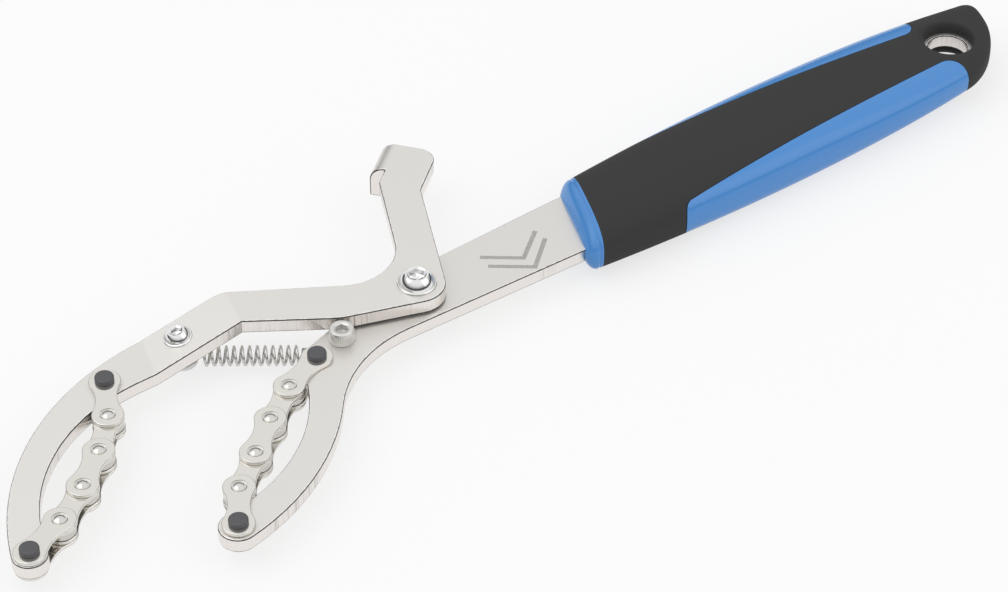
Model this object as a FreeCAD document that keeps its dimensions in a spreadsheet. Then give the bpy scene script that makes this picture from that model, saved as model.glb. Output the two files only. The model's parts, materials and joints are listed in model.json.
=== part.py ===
"""Two-jaw chain whip for bicycle cassettes.

A flat steel main arm runs from the moulded grip to a hooked jaw. A second arm turns on
a screw beside it, steps down to the same plane and ends in a matching hook. Five links of
half-inch roller chain span each hook. A tension spring holds the jaws together, against a
stop screw, and a bent thumb tab on the second arm opens them.

Frame, in millimetres: the origin is the axis of the hanging hole at the middle of the main
arm's thickness, X runs along the handle from the jaws to the hole, and Z is up.
"""
import FreeCAD, Part
import math
import os

from FreeCAD import Placement, Rotation, Vector

SIZES = {
    # The two arms
    "reach": 184.6,             # pivot axis to hanging hole axis
    "arm_thick": 4.0,           # steel plate of both arms
    "washer_thick": 0.35,       # bearing washer between the arms
    "plate_play": 0.05,         # play between faces that slide on each other
    "pin_play": 0.05,           # radial play of a pin in a hole that turns on it
    # Main arm outline, measured from the pivot
    "tang_half_pivot": 9.2,     # half width of the tang at the pivot
    "tang_half_grip": 11.0,     # half width where the tang enters the grip
    "grip_front": 50.8,         # pivot to the front of the grip on the centre line
    "tang_end_round": 9.5,      # round end of the tang about the hanging hole
    "hang_hole_round": 5.75,    # radius of the hanging hole
    "shoulder_back": 4.0,       # where the tang's upper edge ends, behind the pivot
    "shoulder_round": 20.0,
    "main_inner_round": 48.0,   # hollow side of the main hook
    "hollow_play": 0.5,         # gap between the links' ends and a hook's hollow side
    "main_back_round": 70.0,    # outer side of the main hook
    "neck_round": 36.0,         # hollow between hook and tang
    "neck_back": 10.1,          # centre of that hollow, behind the pivot
    # Second arm outline, measured from the pivot
    "boss_round": 7.5,          # arm about the pivot
    "elbow_back": 23.7,         # bend in the lower edge
    "elbow_rise": 0.15,
    "elbow_round": 20.0,
    "crook_back": 45.0,         # sharp corner where the lower edge turns along the jaw
    "jaw_inner_rise": 14.0,     # lower edge of the jaw's root
    "jaw_back_rise": 27.3,      # upper edge of the jaw's root
    "jaw_back_start": 43.9,     # upper corner at the jaw's root
    "jaw_back_corner": 9.0,
    "jaw_back_round": 73.4,     # outer side of the second hook
    "jaw_inner_round": 50.0,    # hollow side of the second hook
    "arm_back_angle": 149.0,    # direction of the arm's upper edge
    "crotch_round": 14.4,       # hollow between arm and thumb lever
    "lever_angle": 64.9,        # direction of the thumb lever
    "lever_width": 10.5,
    "lever_round": 3.0,
    # Step that brings the second hook into the main arm's plane
    "step_angle": 166.0,        # direction in which the arm steps down
    "step_start": 47.2,         # pivot to the first bend
    "step_end": 72.2,           # pivot to the second bend
    # Thumb tab, square to its own bend line
    "tab_angle": 39.0,          # direction of the bend line
    "tab_near": 43.0,           # ends of the flange along the bend line
    "tab_far": 54.5,
    "tab_lower": 9.8,           # lower edge of the tab, from the pivot
    "tab_bend": 21.5,           # where the bend starts, from the pivot
    "tab_corner": 5.0,
    "tab_drop": 9.7,            # depth of the flange below the arm's upper face
    "bend_inner_round": 0.5,
    # Chain
    "pitch": 12.7,
    "link_round": 4.15,         # end radius of a link plate
    "link_waist_half": 2.8,     # half height of a plate at its middle
    "link_thick": 0.95,
    "rivet_round": 1.8,
    "roller_round": 3.85,
    "open_play": 0.35,          # play of the last link on its end pin
    "cap_round": 2.5,           # black head of an end pin
    "cap_high": 1.4,
    "foot_round": 2.4,          # riveted lower end of an end pin
    "foot_high": 0.45,
    # First chain pin of each hook, from the pivot, and the direction of each link
    "main_pin_back": 34.7,
    "main_pin_rise": -5.2,
    "main_link_1": -157.0,
    "main_link_2": -145.0,
    "main_link_3": -139.5,
    "main_link_4": -141.0,
    "main_link_5": -123.0,
    "jaw_pin_back": 83.3,
    "jaw_pin_rise": 18.6,
    "jaw_link_1": -117.0,
    "jaw_link_2": -131.0,
    "jaw_link_3": -138.5,
    "jaw_link_4": -146.0,
    "jaw_link_5": -154.5,
    # Pivot
    "pivot_round": 3.0,
    "pivot_head_round": 5.2,
    "pivot_head_high": 3.2,
    "pivot_head_top": 3.2,      # flat top of the button head
    "pivot_socket_round": 2.3,  # corners of its hexagon socket
    "pivot_socket_deep": 1.8,
    "pivot_nut_round": 5.2,
    "pivot_nut_high": 4.2,
    "pivot_nut_edge": 0.6,
    "washer_round": 6.0,
    "nut_fill": 0.75,           # share of a nut's height that its screw fills
    # Stop screw, against which the second arm closes
    "stop_back": 25.4,
    "stop_rise": -2.75,
    "stop_head_round": 3.4,
    "stop_head_high": 4.0,
    "stop_head_edge": 0.48,     # bevel round the top of its head
    "stop_round": 2.0,
    "stop_socket_round": 1.75,
    "stop_socket_deep": 2.0,
    "stop_tail": 3.2,           # length of the tail below the arm
    "hook_groove_deep": 0.5,    # groove that keeps the spring's hook
    "hook_groove_wide": 1.2,
    # Spring screw on the slope of the step, and its flanged nut
    "post_back": 59.9,
    "post_rise": 21.3,
    "post_head_round": 3.8,
    "post_head_high": 2.3,
    "post_head_top": 2.3,
    "post_socket_round": 1.45,
    "post_socket_deep": 1.3,
    "post_round": 2.0,
    "post_neck_round": 2.6,
    "post_neck_high": 4.3,
    "post_flange_round": 3.3,
    "post_flange_high": 1.1,
    # Tension spring
    "spring_low": 3.45,         # spring axis below the main arm's middle
    "coil_round": 2.8,          # outer radius
    "wire_round": 0.4,
    "coil_pitch": 2.0,
    "coil_turns": 13,
    "coil_start": 4.6,          # from the post to the first coil
    "hook_play": 0.35,
    # Grip, whose thicknesses are measured up and down from its middle plane
    "grip_slant": 20.0,         # slant of the grip's two ends
    "collar_long": 4.8,         # collar at the front, along the centre line
    "grip_tail": 15.5,          # hanging hole to the grip's end, on the centre line
    "collar_half_front": 11.8,
    "collar_thick_front": 3.1,
    "grip_half_front": 13.9,
    "grip_thick_front": 7.1,
    "grip_half_middle": 17.0,
    "grip_thick_middle": 8.2,
    "grip_half_end": 12.3,
    "grip_thick_end": 4.8,
    "grip_belly": 0.47,         # widest place, as a share of the grip's length
    "grip_width_power": 2.8,    # how late the width falls off behind the belly
    "grip_thick_power": 1.5,    # the same for the thickness
    "grip_edge": 0.8,           # rounding of the edges, as a share of the thickness
    "grip_upper_corner": 5.0,
    "grip_lower_corner": 14.0,
    "core_half": 9.6,           # hidden slab of the hard core
    "core_thick": 4.6,
    "core_tail": 15.8,          # end of the slab to the hanging hole
    "core_overlap": 0.96,       # how far the slab runs into the collar
    "panel_start": 26.0,        # side panels, from the grip's front
    "panel_tail": 4.8,          # rear end of the panels to the hanging hole
    "panel_half_start": 14.4,   # from the centre line to the panel's edge
    "panel_half_end": 7.5,
    "bridge_inset": 12.0,       # ends of the web between the panels, inside their ends
    "bridge_thick": 8.0,        # whole thickness of that web
    "panel_front_corner": 3.0,
    "panel_rear_corner": 5.0,
    "funnel_round": 6.9,        # opening of the grip at the arm's surface
    "funnel_rim": 8.4,          # opening at the grip's surface
}

END_STEPS = 8      # straight facets round the end of a link plate
WAIST_STEPS = 2    # facets along each side of its waist
BORE_STEPS = 10    # facets of a small bore or shank
ROLLER_STEPS = 14  # facets of a roller's outside
HEAD_STEPS = 16    # facets of a screw's head
COIL_STEPS = 8     # facets round the spring
EDGE_STEPS = 4     # facets of each rounded edge of the grip
TOUCHING = 1e-5    # arcs nearer than this touch with no line between them
THROUGH = 8        # length of a cutting tool, in plate thicknesses
BLANK = 10         # height of an arm's blank, in plate thicknesses
GRIP_STATIONS = (0.16, 0.32, 0.47, 0.6, 0.71, 0.8, 0.88, 0.95)  # shares of the grip's length
COLLAR_RISE = ((0, 0), (0.15, 0.45), (0.45, 0.8), (1, 1))       # place along it, height reached

doc = FreeCAD.newDocument("chain_whip")
sheet = doc.addObject("Spreadsheet::Sheet", "sizes")
for row, (alias, value) in enumerate(SIZES.items(), start=1):
    sheet.set(f"A{row}", alias)
    sheet.set(f"B{row}", str(value))
    sheet.setAlias(f"B{row}", alias)
doc.recompute()


def size(alias):
    """Value of one cell of the sheet."""
    return float(sheet.get(alias))


def bind(item, prop, formula):
    """Ties one property of a feature to the sheet."""
    item.setExpression(prop, formula)


# Plane geometry


def toward(degrees):
    """Unit vector in the XY plane."""
    return Vector(math.cos(math.radians(degrees)), math.sin(math.radians(degrees)), 0)


def right_of(direction):
    """The direction turned a quarter to the right."""
    return Vector(direction.y, -direction.x, 0)


def meet(point_a, along_a, point_b, along_b):
    """Point where two lines cross."""
    gap = point_b - point_a
    turn = along_a.x * along_b.y - along_a.y * along_b.x
    reach_a = (gap.x * along_b.y - gap.y * along_b.x) / turn
    return point_a + along_a * reach_a


def third_corner(point_a, side_a, point_b, side_b):
    """Corner of a triangle to the left of its base a to b, with the two sides that meet there."""
    base = point_b - point_a
    along = (side_a**2 - side_b**2 + base.Length**2) / (2 * base.Length)
    across = math.sqrt(max(side_a**2 - along**2, 0.0))
    base.normalize()
    return point_a + base * along - right_of(base) * across


def corner(point, fillet=0.0):
    """Outline element: a corner, which may be rounded."""
    return (point, 0.0, fillet)


def convex(centre, radius):
    """Outline element: an arc that bulges outwards."""
    return (centre, radius, 0.0)


def hollow(centre, radius):
    """Outline element: an arc that bends inwards."""
    return (centre, -radius, 0.0)


def tangent(first, second):
    """The straight line that leaves one outline element and reaches the next."""
    gap = second[0] - first[0]
    spread = first[1] - second[1]
    if gap.Length - abs(spread) < TOUCHING:
        shared = first[0] + gap.normalize() * math.copysign(1.0, spread) * first[1]
        return shared, shared
    lean = math.asin(spread / gap.Length)
    along = toward(math.degrees(math.atan2(gap.y, gap.x) + lean))
    return first[0] + right_of(along) * first[1], second[0] + right_of(along) * second[1]


def arc_between(start, end, centre, radius, anticlockwise):
    """Arc from start to end about a centre."""
    first = math.atan2(start.y - centre.y, start.x - centre.x)
    last = math.atan2(end.y - centre.y, end.x - centre.x)
    circle = Part.Circle(centre, Vector(0, 0, 1), radius)
    if anticlockwise:
        return Part.ArcOfCircle(circle, first, last)
    return Part.ArcOfCircle(circle, last, first)


def rounded_corner(before, point, after, fillet):
    """Arc that rounds a corner, with its two tangent points."""
    back = (before - point).normalize()
    ahead = (after - point).normalize()
    half = back.getAngle(ahead) / 2
    cut = fillet / math.tan(half)
    middle = (back + ahead).normalize()
    centre = point + middle * (fillet / math.sin(half))
    start = point + back * cut
    end = point + ahead * cut
    left_turn = (-back).x * ahead.y - (-back).y * ahead.x > 0
    return start, end, arc_between(start, end, centre, fillet, left_turn)


def closed_outline(elements):
    """Curves of a closed outline, anticlockwise, from corners and arcs joined by tangents."""
    count = len(elements)
    lines = [tangent(elements[i], elements[(i + 1) % count]) for i in range(count)]
    starts = [line[0] for line in lines]
    ends = [line[1] for line in lines]
    arcs = {}
    for i, (point, radius, fillet) in enumerate(elements):
        arrive = ends[i - 1]
        if radius:
            arcs[i] = arc_between(arrive, starts[i], point, abs(radius), radius > 0)
        elif fillet:
            ends[i - 1], starts[i], arcs[i] = rounded_corner(starts[i - 1], point, ends[i], fillet)
    curves = []
    for i in range(count):
        if i in arcs:
            curves.append(arcs[i])
        if (ends[i] - starts[i]).Length > TOUCHING:
            curves.append(Part.LineSegment(starts[i], ends[i]))
    return curves


def polygon(points):
    """Closed run of straight lines."""
    return [Part.LineSegment(a, b) for a, b in zip(points, points[1:] + points[:1])]


def arc_points(centre, radius, start, sweep, steps):
    """Points along an arc, both ends included."""
    return [centre + toward(start + sweep * i / steps) * radius for i in range(steps + 1)]


def facet_ring(centre, inside, steps):
    """Regular polygon that just clears a circle of the given radius."""
    radius = inside / math.cos(math.pi / steps)
    return polygon(arc_points(centre, radius, 0, 360, steps)[:-1])


# Features


def drawn(body, name, role, curves):
    """Sketch of the given curves on one of the body's own planes."""
    sketch = body.newObject("Sketcher::SketchObject", name)
    plane = next(p for p in body.Origin.OriginFeatures if p.Role == role)
    sketch.AttachmentSupport = [(plane, "")]
    sketch.MapMode = "FlatFace"
    sketch.addGeometry(curves, False)
    return sketch


def padded(name, curves, length, middle=False, role="XY_Plane"):
    """Body with one pad, whose length is a formula on the sheet."""
    body = doc.addObject("PartDesign::Body", name)
    sketch = drawn(body, name + "_outline", role, curves)
    pad = body.newObject("PartDesign::Pad", name + "_pad")
    pad.Profile = sketch
    bind(pad, "Length", length)
    if middle:
        pad.SideType = "Symmetric"
    return body


def column(name, sides, radius, height, low=0.0, around=False):
    """Prism on the Z axis with its base at a level; around makes it just hold its circle."""
    prism = doc.addObject("Part::Prism", name)
    prism.Polygon = sides
    bind(prism, "Circumradius", f"({radius}) / cos(180 deg / {sides})" if around else radius)
    bind(prism, "Height", height)
    prism.Placement = Placement(Vector(0, 0, low), Rotation())
    return prism


def bevelled(name, base, level, width):
    """The base with the edges at one level bevelled."""
    doc.recompute()
    edges = []
    for number, edge in enumerate(base.Shape.Edges, start=1):
        if all(abs(vertex.Z - level) < TOUCHING for vertex in edge.Vertexes):
            edges.append((number, width, width))
    result = doc.addObject("Part::Chamfer", name)
    result.Base = base
    result.Edges = edges
    return result


def lofted(name, sections):
    """Solid with straight facets through a row of sections."""
    loft = doc.addObject("Part::Loft", name)
    loft.Sections = sections
    loft.Solid = True
    loft.Ruled = True
    return loft


def drill(name, place, radius):
    """Cylinder that cuts a hole right through an arm."""
    tool = doc.addObject("Part::Cylinder", name)
    bind(tool, "Radius", radius)
    bind(tool, "Height", f"{THROUGH}*sizes.arm_thick")
    tool.Placement = Placement(place - Vector(0, 0, THROUGH * arm_half), Rotation())
    return tool


def seat(name, place, radius):
    """Faceted hole that holds a pressed shank of the same facets."""
    tool = column(name, BORE_STEPS, radius, f"{THROUGH}*sizes.arm_thick")
    tool.Placement = place * Placement(Vector(0, 0, -THROUGH * arm_half), Rotation())
    return tool


def cut(name, base, tools):
    """Base less its tools."""
    joined = tools[0]
    if len(tools) > 1:
        joined = doc.addObject("Part::MultiFuse", name + "_tools")
        joined.Shapes = tools
    result = doc.addObject("Part::Cut", name)
    result.Base = base
    result.Tool = joined
    return result


def common(name, shapes):
    """What the shapes share."""
    result = doc.addObject("Part::MultiCommon", name)
    result.Shapes = shapes
    return result


def fused(name, shapes):
    """The shapes as one, with no seams between flush faces."""
    result = doc.addObject("Part::MultiFuse", name)
    result.Shapes = shapes
    result.Refine = True
    return result


# Key places

nodes = []
ORIGIN = Vector()
pivot = Vector(-size("reach"), 0, 0)
arm_half = size("arm_thick") / 2
arms_gap = size("washer_thick") + size("plate_play")
jaw_under = arm_half + arms_gap
jaw_top = jaw_under + size("arm_thick")


def from_pivot(back, rise):
    """Point behind the pivot and above the handle's centre line."""
    return pivot + Vector(-back, rise, 0)


def chain_pins(arm):
    """The six pin axes of one arm's chain."""
    pins = [from_pivot(size(arm + "_pin_back"), size(arm + "_pin_rise"))]
    for number in range(1, 6):
        pins.append(pins[-1] + toward(size(f"{arm}_link_{number}")) * size("pitch"))
    return pins


main_pins = chain_pins("main")
jaw_pins = chain_pins("jaw")
stop_place = from_pivot(size("stop_back"), size("stop_rise"))
post_place = from_pivot(size("post_back"), size("post_rise"))


def keep(item, label, body):
    """Lists a finished sub-part with the moving body it belongs to."""
    item.Label = label
    nodes.append((item, label, body))
    return item


def hollow_side(arm, pins):
    """Centre and radius of a hook's hollow side, which clears the second and the fifth pin alike."""
    radius = size(arm + "_inner_round")
    inside = radius - size("link_round") - size("hollow_play")
    second, fifth = pins[1], pins[4]
    if arm == "main":
        second, fifth = fifth, second
    return third_corner(second, inside, fifth, inside), radius


# Main arm


def main_arm():
    """Flat arm: tang, neck and hook, with its holes."""
    root = main_pins[0]
    tip = main_pins[-1]
    inner_centre, inner = hollow_side("main", main_pins)
    back = size("main_back_round")
    neck = size("neck_round")
    tip_round = (tip - inner_centre).Length - inner
    root_round = (root - inner_centre).Length - inner
    grip_x = size("grip_front")
    neck_centre = from_pivot(size("neck_back"), -size("tang_half_pivot") - neck)
    back_centre = third_corner(tip, back - tip_round, neck_centre, back + neck)
    curves = closed_outline([
        convex(ORIGIN, size("tang_end_round")),
        corner(pivot + Vector(grip_x, size("tang_half_grip"), 0)),
        corner(from_pivot(size("shoulder_back"), size("tang_half_pivot")), size("shoulder_round")),
        convex(root, root_round),
        hollow(inner_centre, inner),
        convex(tip, tip_round),
        convex(back_centre, back),
        hollow(neck_centre, neck),
        corner(pivot + Vector(grip_x, -size("tang_half_grip"), 0)),
    ])
    plate = padded("main_plate", curves, "sizes.arm_thick", middle=True)
    holes = [
        drill("main_pivot_hole", pivot, "sizes.pivot_round + sizes.pin_play"),
        drill("main_hang_hole", ORIGIN, "sizes.hang_hole_round"),
        seat("main_stop_hole", Placement(stop_place, Rotation()), "sizes.stop_round"),
        seat("main_root_hole", Placement(root, Rotation()), "sizes.rivet_round"),
        seat("main_tip_hole", Placement(tip, Rotation()), "sizes.rivet_round"),
    ]
    keep(cut("main_arm", plate, holes), "main_arm", "main")


# Second arm


def jaw_plan():
    """Outline of the second arm seen from above, up to the bend of its thumb tab."""
    along = toward(size("tab_angle"))
    across = toward(size("tab_angle") + 90)
    lever = toward(size("lever_angle"))
    lever_right = pivot + right_of(lever) * size("boss_round")
    lever_left = lever_right - right_of(lever) * size("lever_width")
    tab_low = pivot + across * size("tab_lower")
    tab_high = pivot + across * size("tab_bend")
    crotch_line = toward(size("arm_back_angle"))
    back_corner = from_pivot(size("jaw_back_start"), size("jaw_back_rise"))
    tip = jaw_pins[-1]
    inner_centre, inner = hollow_side("jaw", jaw_pins)
    tip_round = (tip - inner_centre).Length - inner
    back = size("jaw_back_round")
    back_high = size("jaw_back_rise") - back
    back_across = math.sqrt((back - tip_round)**2 - (tip.y - back_high)**2)
    return closed_outline([
        convex(pivot, size("boss_round")),
        corner(meet(lever_right, lever, tab_low, along), size("lever_round")),
        corner(tab_low + along * size("tab_far"), size("tab_corner")),
        corner(tab_high + along * size("tab_far")),
        corner(meet(lever_left, lever, tab_high, along)),
        corner(meet(lever_left, lever, back_corner, crotch_line), size("crotch_round")),
        corner(back_corner, size("jaw_back_corner")),
        convex(Vector(tip.x + back_across, back_high, 0), back),
        convex(tip, tip_round),
        hollow(inner_centre, inner),
        corner(from_pivot(size("crook_back"), size("jaw_inner_rise"))),
        corner(from_pivot(size("elbow_back"), size("elbow_rise")), size("elbow_round")),
    ])


def step_section():
    """Side view of the stepped sheet, which runs past the arm at both ends."""
    thick = size("arm_thick")
    start = size("step_start")
    end = size("step_end")
    fall = math.atan2(jaw_top - arm_half, end - start)
    shift = thick * math.tan(fall / 2)
    far = 2 * end
    near = -end
    return polygon([
        Vector(near, jaw_top, 0),
        Vector(near, jaw_under, 0),
        Vector(start - shift, jaw_under, 0),
        Vector(end - shift, -arm_half, 0),
        Vector(far, -arm_half, 0),
        Vector(far, arm_half, 0),
        Vector(end, arm_half, 0),
        Vector(start, jaw_top, 0),
    ])


def flange_section():
    """Side view of the flange that is bent down at the thumb tab."""
    start = size("tab_bend")
    inner = size("bend_inner_round")
    outer = inner + size("arm_thick")
    bottom = jaw_top - size("tab_drop")
    axis = Vector(start, jaw_top - outer, 0)
    level = axis.y
    return [
        arc_between(Vector(start + outer, level, 0), Vector(start, jaw_top, 0), axis, outer, True),
        Part.LineSegment(Vector(start, jaw_top, 0), Vector(start, jaw_under, 0)),
        arc_between(Vector(start, jaw_under, 0), Vector(start + inner, level, 0), axis, inner, False),
        Part.LineSegment(Vector(start + inner, level, 0), Vector(start + inner, bottom, 0)),
        Part.LineSegment(Vector(start + inner, bottom, 0), Vector(start + outer, bottom, 0)),
        Part.LineSegment(Vector(start + outer, bottom, 0), Vector(start + outer, level, 0)),
    ]


def jaw_arm():
    """Stepped arm with its hook and thumb lever, and the flange of its tab."""
    outline = padded("jaw_outline", jaw_plan(), f"{BLANK}*sizes.arm_thick", middle=True)
    sheet_form = padded("jaw_sheet", step_section(), "4*sizes.step_end", middle=True, role="XZ_Plane")
    sheet_form.Placement = Placement(pivot, Rotation(Vector(0, 0, 1), size("step_angle")))
    stepped = common("jaw_stepped", [outline, sheet_form])
    flange = padded(
        "jaw_flange", flange_section(), "sizes.tab_far - sizes.tab_near", role="XZ_Plane"
    )
    turn = Rotation(Vector(0, 0, 1), size("tab_angle") + 90)
    near = pivot + toward(size("tab_angle")) * size("tab_near")
    flange.Placement = Placement(near, turn)
    solid = fused("jaw_solid", [stepped, flange])
    holes = [
        drill("jaw_pivot_hole", pivot, "sizes.pivot_round + sizes.pin_play"),
        seat("jaw_root_hole", Placement(jaw_pins[0], Rotation()), "sizes.rivet_round"),
        seat("jaw_tip_hole", Placement(jaw_pins[-1], Rotation()), "sizes.rivet_round"),
        seat("jaw_post_hole", post_frame(), "sizes.post_round"),
    ]
    keep(cut("jaw_arm", solid, holes), "jaw_arm", "jaw")


def post_frame(lift=0.0):
    """Frame on the step's sloping top at the spring screw, with Z square to the slope."""
    down = toward(size("step_angle"))
    run = size("step_end") - size("step_start")
    drop = jaw_top - arm_half
    along = (post_place - pivot).dot(down) - size("step_start")
    top = Vector(post_place.x, post_place.y, jaw_top - drop * along / run)
    normal = Vector(down.x * drop, down.y * drop, run).normalize()
    tilt = Rotation(Vector(0, 0, 1), normal)
    return Placement(top + normal * lift, tilt)


# Screws, nuts and washer


def button_head(screw):
    """Low head of a screw that stands on zero, bevelled to its flat top."""
    high = size(f"{screw}_head_high")
    slope = size(f"{screw}_head_round") - size(f"{screw}_head_top")
    blank = column(f"{screw}_head_blank", HEAD_STEPS, f"sizes.{screw}_head_round",
                   f"sizes.{screw}_head_high")
    return bevelled(f"{screw}_head", blank, high, slope)


def socketed(screw, head):
    """The head with its hexagon socket."""
    deep = size(f"{screw}_socket_deep")
    socket = column(f"{screw}_socket", 6, f"sizes.{screw}_socket_round",
                    f"sizes.{screw}_head_high", size(f"{screw}_head_high") - deep)
    return cut(f"{screw}_socket_head", head, [socket])


def pivot_parts():
    """Pivot screw, its nut under the main arm and the washer between the arms."""
    seat = jaw_top + size("plate_play")
    shank_long = seat + arm_half + size("nut_fill") * size("pivot_nut_high")
    shank = doc.addObject("Part::Cylinder", "pivot_shank")
    bind(shank, "Radius", "sizes.pivot_round")
    shank.Height = shank_long
    shank.Placement = Placement(Vector(0, 0, -shank_long), Rotation())
    screw = fused("pivot_screw", [socketed("pivot", button_head("pivot")), shank])
    screw.Placement = Placement(pivot + Vector(0, 0, seat), Rotation())
    keep(screw, "pivot_screw", "main")

    nut_low = -size("pivot_nut_high")
    barrel = column("pivot_nut_barrel", HEAD_STEPS, "sizes.pivot_nut_round",
                    "sizes.pivot_nut_high", nut_low)
    barrel = bevelled("pivot_nut_blank", barrel, nut_low, size("pivot_nut_edge"))
    bore = column("pivot_nut_bore", BORE_STEPS, "sizes.pivot_round", "sizes.pivot_nut_high",
                  nut_low, around=True)
    nut = cut("pivot_nut", barrel, [bore])
    nut.Placement = Placement(pivot - Vector(0, 0, arm_half), Rotation())
    keep(nut, "pivot_nut", "main")

    inside = size("pivot_round") + size("pin_play")
    washer = padded(
        "pivot_washer",
        facet_ring(ORIGIN, size("washer_round"), HEAD_STEPS) + facet_ring(ORIGIN, inside, BORE_STEPS),
        "sizes.washer_thick")
    washer.Placement = Placement(pivot + Vector(0, 0, arm_half), Rotation())
    keep(washer, "pivot_washer", "main")


def stop_screw():
    """Socket-head screw that stops the second arm, with a grooved tail for the spring."""
    tail = size("arm_thick") + size("stop_tail")
    blank = column("stop_head_blank", HEAD_STEPS, "sizes.stop_head_round", "sizes.stop_head_high")
    head = bevelled("stop_head", blank, size("stop_head_high"), size("stop_head_edge"))
    shank = column("stop_shank", BORE_STEPS, "sizes.stop_round",
                   "sizes.arm_thick + sizes.stop_tail", -tail)
    half = size("hook_groove_wide") / 2
    level = -arm_half - size("spring_low")
    ring = column("stop_groove_ring", HEAD_STEPS, "2*sizes.stop_round", "sizes.hook_groove_wide",
                  level - half)
    root = column("stop_groove_root", BORE_STEPS, "sizes.stop_round - sizes.hook_groove_deep",
                  "sizes.hook_groove_wide", level - half)
    groove = cut("stop_groove", ring, [root])
    screw = cut("stop_screw", fused("stop_blank", [socketed("stop", head), shank]), [groove])
    screw.Placement = Placement(stop_place + Vector(0, 0, arm_half), Rotation())
    keep(screw, "stop_screw", "main")


def post_parts():
    """Spring screw on the slope, and the flanged nut that carries the spring."""
    thick = size("arm_thick")
    neck = size("post_neck_high")
    total = neck + size("post_flange_high")
    nut_high = "(sizes.post_neck_high + sizes.post_flange_high)"
    stem_long = thick + size("nut_fill") * total
    stem = column("post_stem", BORE_STEPS, "sizes.post_round",
                  f"sizes.arm_thick + sizes.nut_fill * {nut_high}", -stem_long)
    screw = fused("spring_screw", [socketed("post", button_head("post")), stem])
    screw.Placement = post_frame()
    keep(screw, "spring_screw", "jaw")

    neck_column = column("post_neck", BORE_STEPS, "sizes.post_neck_round", "sizes.post_neck_high",
                         -neck)
    flange = column("post_flange", HEAD_STEPS, "sizes.post_flange_round", "sizes.post_flange_high",
                    -total)
    bore = column("post_nut_bore", BORE_STEPS, "sizes.post_round", nut_high, -total, around=True)
    nut = cut("spring_nut", fused("post_nut_solid", [neck_column, flange]), [bore])
    nut.Placement = post_frame(-thick)
    keep(nut, "spring_nut", "jaw")


# Chain


def link_curves(bores):
    """Waisted outline of a link plate from its first pin along X, with its two bores."""
    end = size("link_round")
    pitch = size("pitch")
    half = size("link_waist_half")
    waist = (pitch**2 / 4 + half**2 - end**2) / (2 * (end - half))
    lean = math.degrees(math.acos(pitch / 2 / (end + waist)))
    far = Vector(pitch, 0, 0)
    turn = 180 - 2 * lean
    sweep = 360 - 2 * lean
    points = arc_points(ORIGIN, end, lean, sweep, END_STEPS)
    lower = Vector(pitch / 2, -half - waist, 0)
    points += arc_points(lower, waist, 180 - lean, -turn, WAIST_STEPS)[1:-1]
    points += arc_points(far, end, lean - 180, sweep, END_STEPS)
    upper = Vector(pitch / 2, half + waist, 0)
    points += arc_points(upper, waist, -lean, -turn, WAIST_STEPS)[1:-1]
    return (polygon(points)
            + facet_ring(ORIGIN, bores[0], BORE_STEPS)
            + facet_ring(far, bores[1], BORE_STEPS))


def link_plate(label, body, curves, start, angle, low):
    """One link plate, flat, with its lower face at the given height."""
    plate = padded(label, curves, "sizes.link_thick")
    plate.Placement = Placement(start + Vector(0, 0, low), Rotation(Vector(0, 0, 1), angle))
    keep(plate, label, body)


def chain(arm, pins):
    """Five links between the two end pins of one arm."""
    rivet = size("rivet_round")
    loose = rivet + size("pin_play")
    thick = size("link_thick")
    play = size("plate_play")
    outer_low = arm_half + 2 * play
    inner_low = arm_half + play - thick
    for number in range(1, 6):
        angle = size(f"{arm}_link_{number}")
        start = pins[number - 1]
        body = f"{arm}_link_{number}"
        if number % 2:
            bores = [loose if number == 1 else rivet, rivet]
            if number == 5:
                bores[1] = rivet + size("open_play")
            level = outer_low
        else:
            bores = [loose, loose]
            level = inner_low
        curves = link_curves(bores)
        link_plate(f"{body}_plate_upper", body, curves, start, angle, level)
        link_plate(f"{body}_plate_lower", body, curves, start, angle, -level - thick)
    carriers = {2: (1, 2), 3: (3, 2), 4: (3, 4), 5: (5, 4)}
    for number, (outer_link, inner_link) in carriers.items():
        pin = doc.addObject("Part::Prism", f"{arm}_rivet_{number}")
        pin.Polygon = BORE_STEPS
        bind(pin, "Circumradius", "sizes.rivet_round")
        bind(pin, "Height", "sizes.arm_thick + 4*sizes.plate_play + 2*sizes.link_thick")
        pin.Placement = Placement(pins[number - 1] - Vector(0, 0, outer_low + thick), Rotation())
        keep(pin, f"{arm}_rivet_{number}", f"{arm}_link_{outer_link}")
        roller_half = inner_low - play
        curves = (facet_ring(ORIGIN, size("roller_round"), ROLLER_STEPS)
                  + facet_ring(ORIGIN, loose, BORE_STEPS))
        roller = padded(
            f"{arm}_roller_{number}", curves,
            "sizes.arm_thick - 2*sizes.link_thick")
        roller.Placement = Placement(pins[number - 1] - Vector(0, 0, roller_half), Rotation())
        keep(roller, f"{arm}_roller_{number}", f"{arm}_roller_{number}")


def end_pin(label, body, place):
    """Black pin that ties the chain's end to its arm: round head, shank and riveted foot."""
    top = arm_half + 3 * size("plate_play") + size("link_thick")
    low = -top - size("foot_high")
    pin = fused(label, [
        column(label + "_cap", ROLLER_STEPS, "sizes.cap_round", "sizes.cap_high", top),
        column(label + "_shank", BORE_STEPS, "sizes.rivet_round",
               "sizes.arm_thick + 6*sizes.plate_play + 2*sizes.link_thick", -top),
        column(label + "_foot", BORE_STEPS, "sizes.foot_round", "sizes.foot_high", low),
    ])
    pin.Placement = Placement(place, Rotation())
    keep(pin, label, body)


# Spring


def hook_curves(radius):
    """Half ring of wire about a post at the origin, open towards X."""
    outside = radius + 2 * size("wire_round")
    inner = arc_points(ORIGIN, radius, 90, 180, COIL_STEPS)
    outer = arc_points(ORIGIN, outside, 270, -180, COIL_STEPS)
    return polygon(inner + outer)


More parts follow.
